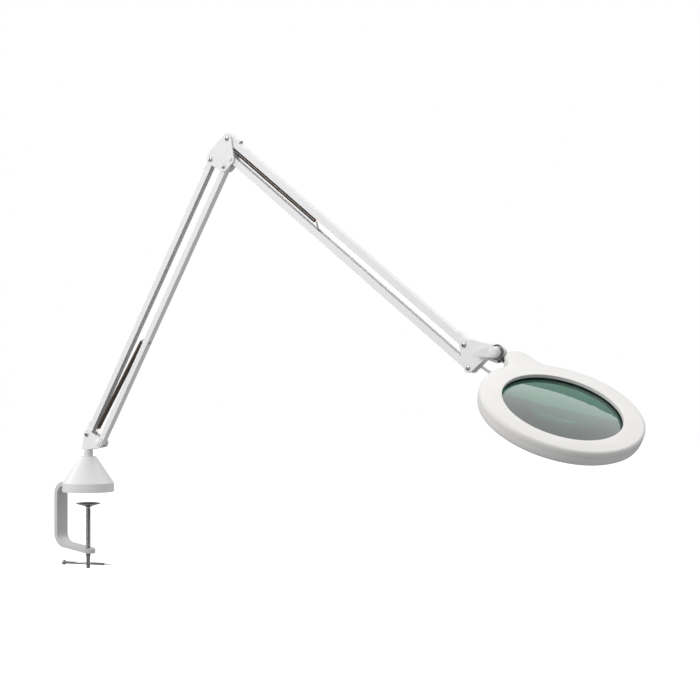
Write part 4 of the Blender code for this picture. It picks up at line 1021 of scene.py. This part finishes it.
EDGE_TOP, EDGE_LOW, SAG_TOP, SAG_LOW = -7.5, -10.0, 7.0, 11.5
profile = [(LENS_R * k / 40, EDGE_TOP + SAG_TOP * (1 - (k / 40) ** 2)) for k in range(41)]
profile += [(LENS_R * k / 40, EDGE_LOW - SAG_LOW * (1 - (k / 40) ** 2)) for k in range(40, -1, -1)]
piece("lens", lathe(profile, 36), "lens_glass", head, LENS_AT)
piece("lens_gasket", lathe([(87.7, -5.3), (92.6, -5.3), (92.6, -9.6), (91.3, -9.6), (91.3, -7.1),
                            (87.7, -6.7)], 36), "black_rubber", head, LENS_AT)
piece("lens_retainer", lathe([(87.0, low), (92.9, low), (92.9, low + 2.0), (89.4, low + 2.0), (89.4, -11.2),
                              (87.0, -11.6)], 36), "white_shell", head, LENS_AT)
piece("diffuser_ring", lathe([(93.2, low + 0.3), (107.1, low + 0.3), (107.1, low + 1.9), (93.2, low + 1.9)], 36),
      "frosted_plastic", head, LENS_AT)

# LED board: a flat ring with a row of square emitters on its lower face.
board = bmesh.new()
LEDS, bands = 20, (94.0, 99.5, 104.5, 112.0)
for z in (-7.4, -9.0):
    rows = [[board.verts.new(Vector((r * math.cos(math.tau * k / (2 * LEDS)),
                                     r * math.sin(math.tau * k / (2 * LEDS)), z)) * MM)
             for k in range(2 * LEDS)] for r in bands]
    if z == -7.4:
        upper = rows
        continue
    for a, b in zip(rows, rows[1:]):
        for k in range(2 * LEDS):
            j = (k + 1) % (2 * LEDS)
            board.faces.new((a[k], a[j], b[j], b[k]))
    emit = [f for f in board.faces
            if 99.5 * MM < math.hypot(*f.calc_center_median()[:2]) < 104.5 * MM][::2]
    for k in range(2 * LEDS):
        j = (k + 1) % (2 * LEDS)
        for a, b in zip(upper, upper[1:]):
            board.faces.new((a[k], a[j], b[j], b[k]))
        board.faces.new((upper[0][k], upper[0][j], rows[0][j], rows[0][k]))
        board.faces.new((upper[-1][k], upper[-1][j], rows[-1][j], rows[-1][k]))
bmesh.ops.recalc_face_normals(board, faces=board.faces)
bmesh.ops.inset_individual(board, faces=emit, thickness=0.9 * MM)
for f in emit:
    for v in f.verts:
        v.co.z = -9.9 * MM
piece("led_ring_board", tidy(board), "circuit_board", head, LENS_AT)

piece("touch_board", prism([box(-126.0, -97.0, -14.0, 14.0)], -4.6, -3.0, "Z"), "green_board", head, LENS_AT)
piece("lead_gland", lathe([(2.5, -27.4), (3.9, -27.4), (4.7, -26.6), (4.7, -24.3), (2.5, -24.3)], 20),
      "black_rubber", head, (LENS_AT[0] + GLAND_X, 0, LENS_AT[2]))
piece("swivel_pin", lathe([(0, -21.7), (3.0, -21.7), (3.0, -2.5), (0, -2.5)], 16), "nickel", head,
      (LENS_AT[0] + BUMP_X, 0, LENS_AT[2]))


# ===================================================================== lead
def smooth(points, n):
    """Points along a smooth curve through the route's own points."""
    pts = [Vector(p) for p in points]
    out = []
    for i in range(len(pts) - 1):
        p0, p1 = pts[max(i - 1, 0)], pts[i]
        p2, p3 = pts[i + 1], pts[min(i + 2, len(pts) - 1)]
        for k in range(n):
            t = k / n
            out.append(0.5 * (2 * p1 + (p2 - p0) * t + (2 * p0 - 5 * p1 + 4 * p2 - p3) * t * t
                              + (3 * p1 - p0 - 3 * p2 + p3) * t ** 3))
    out.append(pts[-1])
    return out


# The lead leaves the arm between the bracket's plates, hangs in a short loop
# under the neck and goes up through the gland into the head.  It is in three
# stretches, so that each one crosses a single joint.
def head_point(x, y, z):
    """World place of a point given in the head's own frame, in mm."""
    v = head_turn @ Vector((x - BUMP_X, y, z + NECK_DEPTH))
    return Vector((P[0] + v.x, v.y, P[1] + v.z))


LOOP_IN = [(-48.0, 0, -6.5), (-42.5, 0, -13.0), (-36.5, 0, -20.3), (-27.0, 0, -26.0), (-17.0, 0, -31.0),
           (-6.0, 0, -36.2), (4.0, -0.2, -40.0)]
LOOP_MID = [(4.0, -0.2, -40.0), (10.0, -0.4, -41.9), (16.0, -0.7, -43.3)]
tilt = Vector((T[0], 0, T[1]))
first = [tilt + Vector(p) for p in LOOP_IN]
second = [tilt + Vector(p) for p in LOOP_MID]
third = [second[-1], tilt + Vector((25.5, -1.4, -44.4)), head_point(GLAND_X, 0, -34.0),
         head_point(GLAND_X, 0, -27.5), head_point(GLAND_X, 0, -21.0)]


def trimmed(points, start, end):
    """Pull the ends in so that neighbouring stretches meet face to face."""
    pts = [Vector(p) for p in points]
    if start:
        pts[0] += (pts[1] - pts[0]).normalized() * start
    if end:
        pts[-1] += (pts[-2] - pts[-1]).normalized() * end
    return pts


for name, route, cut, pair in (("head_lead_a", first, (0, 0), ("head_bracket", "block")),
                               ("head_lead_b", second, (0, 0), ("block", "neck")),
                               ("head_lead_c", third, (0, 0), ("neck", "head"))):
    pts = smooth(trimmed(route, *cut), 9)
    lead = tube("v_" + name, pts, 2.15, "grey_lead", 24)
    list(pair)
    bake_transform(lead)
    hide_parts(name)


# --------------------------------------------------------- floor and lighting
def plain(name, colour, rough, glow):
    m = Nodes(name)
    m.set(Emission_Color=(1.0, 1.0, 1.0, 1.0), Emission_Strength=glow)
    m.link(m.ramp(m.noise(0.8, 2.0), [(0.3, shade(colour, 0.995)), (0.7, colour)]), m.bsdf.inputs["Base Color"])
    m.link(m.spread(m.noise(6.0), rough - 0.03, rough + 0.03), m.bsdf.inputs["Roughness"])
    return m.mat


FLOOR_Z = -0.62
bm = bmesh.new()
bmesh.ops.create_grid(bm, x_segments=2, y_segments=2, size=14.0)
floor = as_object("floor", bm)
floor.location = (0.4, 0.0, FLOOR_Z)
floor.data.materials.append(plain("floor_white", (0.90, 0.90, 0.90), 0.8, 0.66))
floor.visible_diffuse = False      # the floor is bright, and gives the lamp no light of its own
floor.visible_glossy = False

world = bpy.data.worlds.new("studio")
bpy.context.scene.world = world
world.use_nodes = True
sky = world.node_tree.nodes["Background"]
sky.inputs["Strength"].default_value = 1.0
# The walls of the studio are dim and its ceiling is bright, so that plated parts have something to show.
direction = world.node_tree.nodes.new("ShaderNodeTexCoord")
split = world.node_tree.nodes.new("ShaderNodeSeparateXYZ")
bands = world.node_tree.nodes.new("ShaderNodeValToRGB")
bands.color_ramp.elements[0].position = 0.10
bands.color_ramp.elements[0].color = (0.40, 0.40, 0.405, 1.0)
bands.color_ramp.elements[1].position = 0.75
bands.color_ramp.elements[1].color = (0.85, 0.85, 0.85, 1.0)
world.node_tree.links.new(direction.outputs["Generated"], split.inputs["Vector"])
world.node_tree.links.new(split.outputs["Z"], bands.inputs["Fac"])
world.node_tree.links.new(bands.outputs["Color"], sky.inputs["Color"])
seen = world.node_tree.nodes.new("ShaderNodeBackground")
seen.inputs["Color"].default_value = (1.0, 1.0, 1.0, 1.0)
seen.inputs["Strength"].default_value = 1.0
path = world.node_tree.nodes.new("ShaderNodeLightPath")
mix = world.node_tree.nodes.new("ShaderNodeMixShader")
world.node_tree.links.new(path.outputs["Is Camera Ray"], mix.inputs["Fac"])
world.node_tree.links.new(sky.outputs["Background"], mix.inputs[1])
world.node_tree.links.new(seen.outputs["Background"], mix.inputs[2])
world.node_tree.links.new(mix.outputs["Shader"], world.node_tree.nodes["World Output"].inputs["Surface"])


def lamp(name, at, towards, size, power, colour=(1.0, 1.0, 1.0)):
    data = bpy.data.lights.new(name, "AREA")
    data.shape = "RECTANGLE"
    data.size, data.size_y = size
    data.energy = power
    data.color = colour
    obj = bpy.data.objects.new(name, data)
    bpy.context.scene.collection.objects.link(obj)
    obj.location = at
    obj.rotation_euler = (Vector(towards) - Vector(at)).to_track_quat("-Z", "Y").to_euler()
    return obj


CENTRE = (0.5, 0.0, 0.25)
lamp("key", (-0.4, -2.9, 1.6), CENTRE, (1.5, 1.2), 44.0)
lamp("top", (0.3, -0.4, 2.4), CENTRE, (2.0, 1.6), 3.0)
lamp("left", (-2.2, -0.8, 1.2), CENTRE, (1.0, 1.4), 16.0)
lamp("back", (0.6, 2.6, 1.4), CENTRE, (1.6, 1.2), 3.0)
# A broad card over the head. The lens mirrors it, and its edge is the line across the glass.
card = lamp("card", (0.75, 1.60, 2.40), (0.75, 1.60, 0.0), (2.4, 1.6), 24.0)
card.rotation_euler = (0.0, 0.0, math.radians(35.9))

cam = bpy.data.cameras.new("camera")
cam.sensor_width = 36.0
cam.lens = 102.857
cam.clip_end = 60.0
cam.dof.use_dof = False
camera = bpy.data.objects.new("camera", cam)
bpy.context.scene.collection.objects.link(camera)
camera.location = (2.59842, -2.38467, 0.2474)
camera.rotation_euler = (math.radians(90.0), 0.0, math.radians(40.0))
bpy.context.scene.camera = camera
bpy.context.scene.view_settings.view_transform = "Standard"

for name, node in frame["nodes"].items():
    if not node.hide_render:
        node.data.materials.clear()
        node.data.materials.append(LOOKS[SLOT_OF[name]])
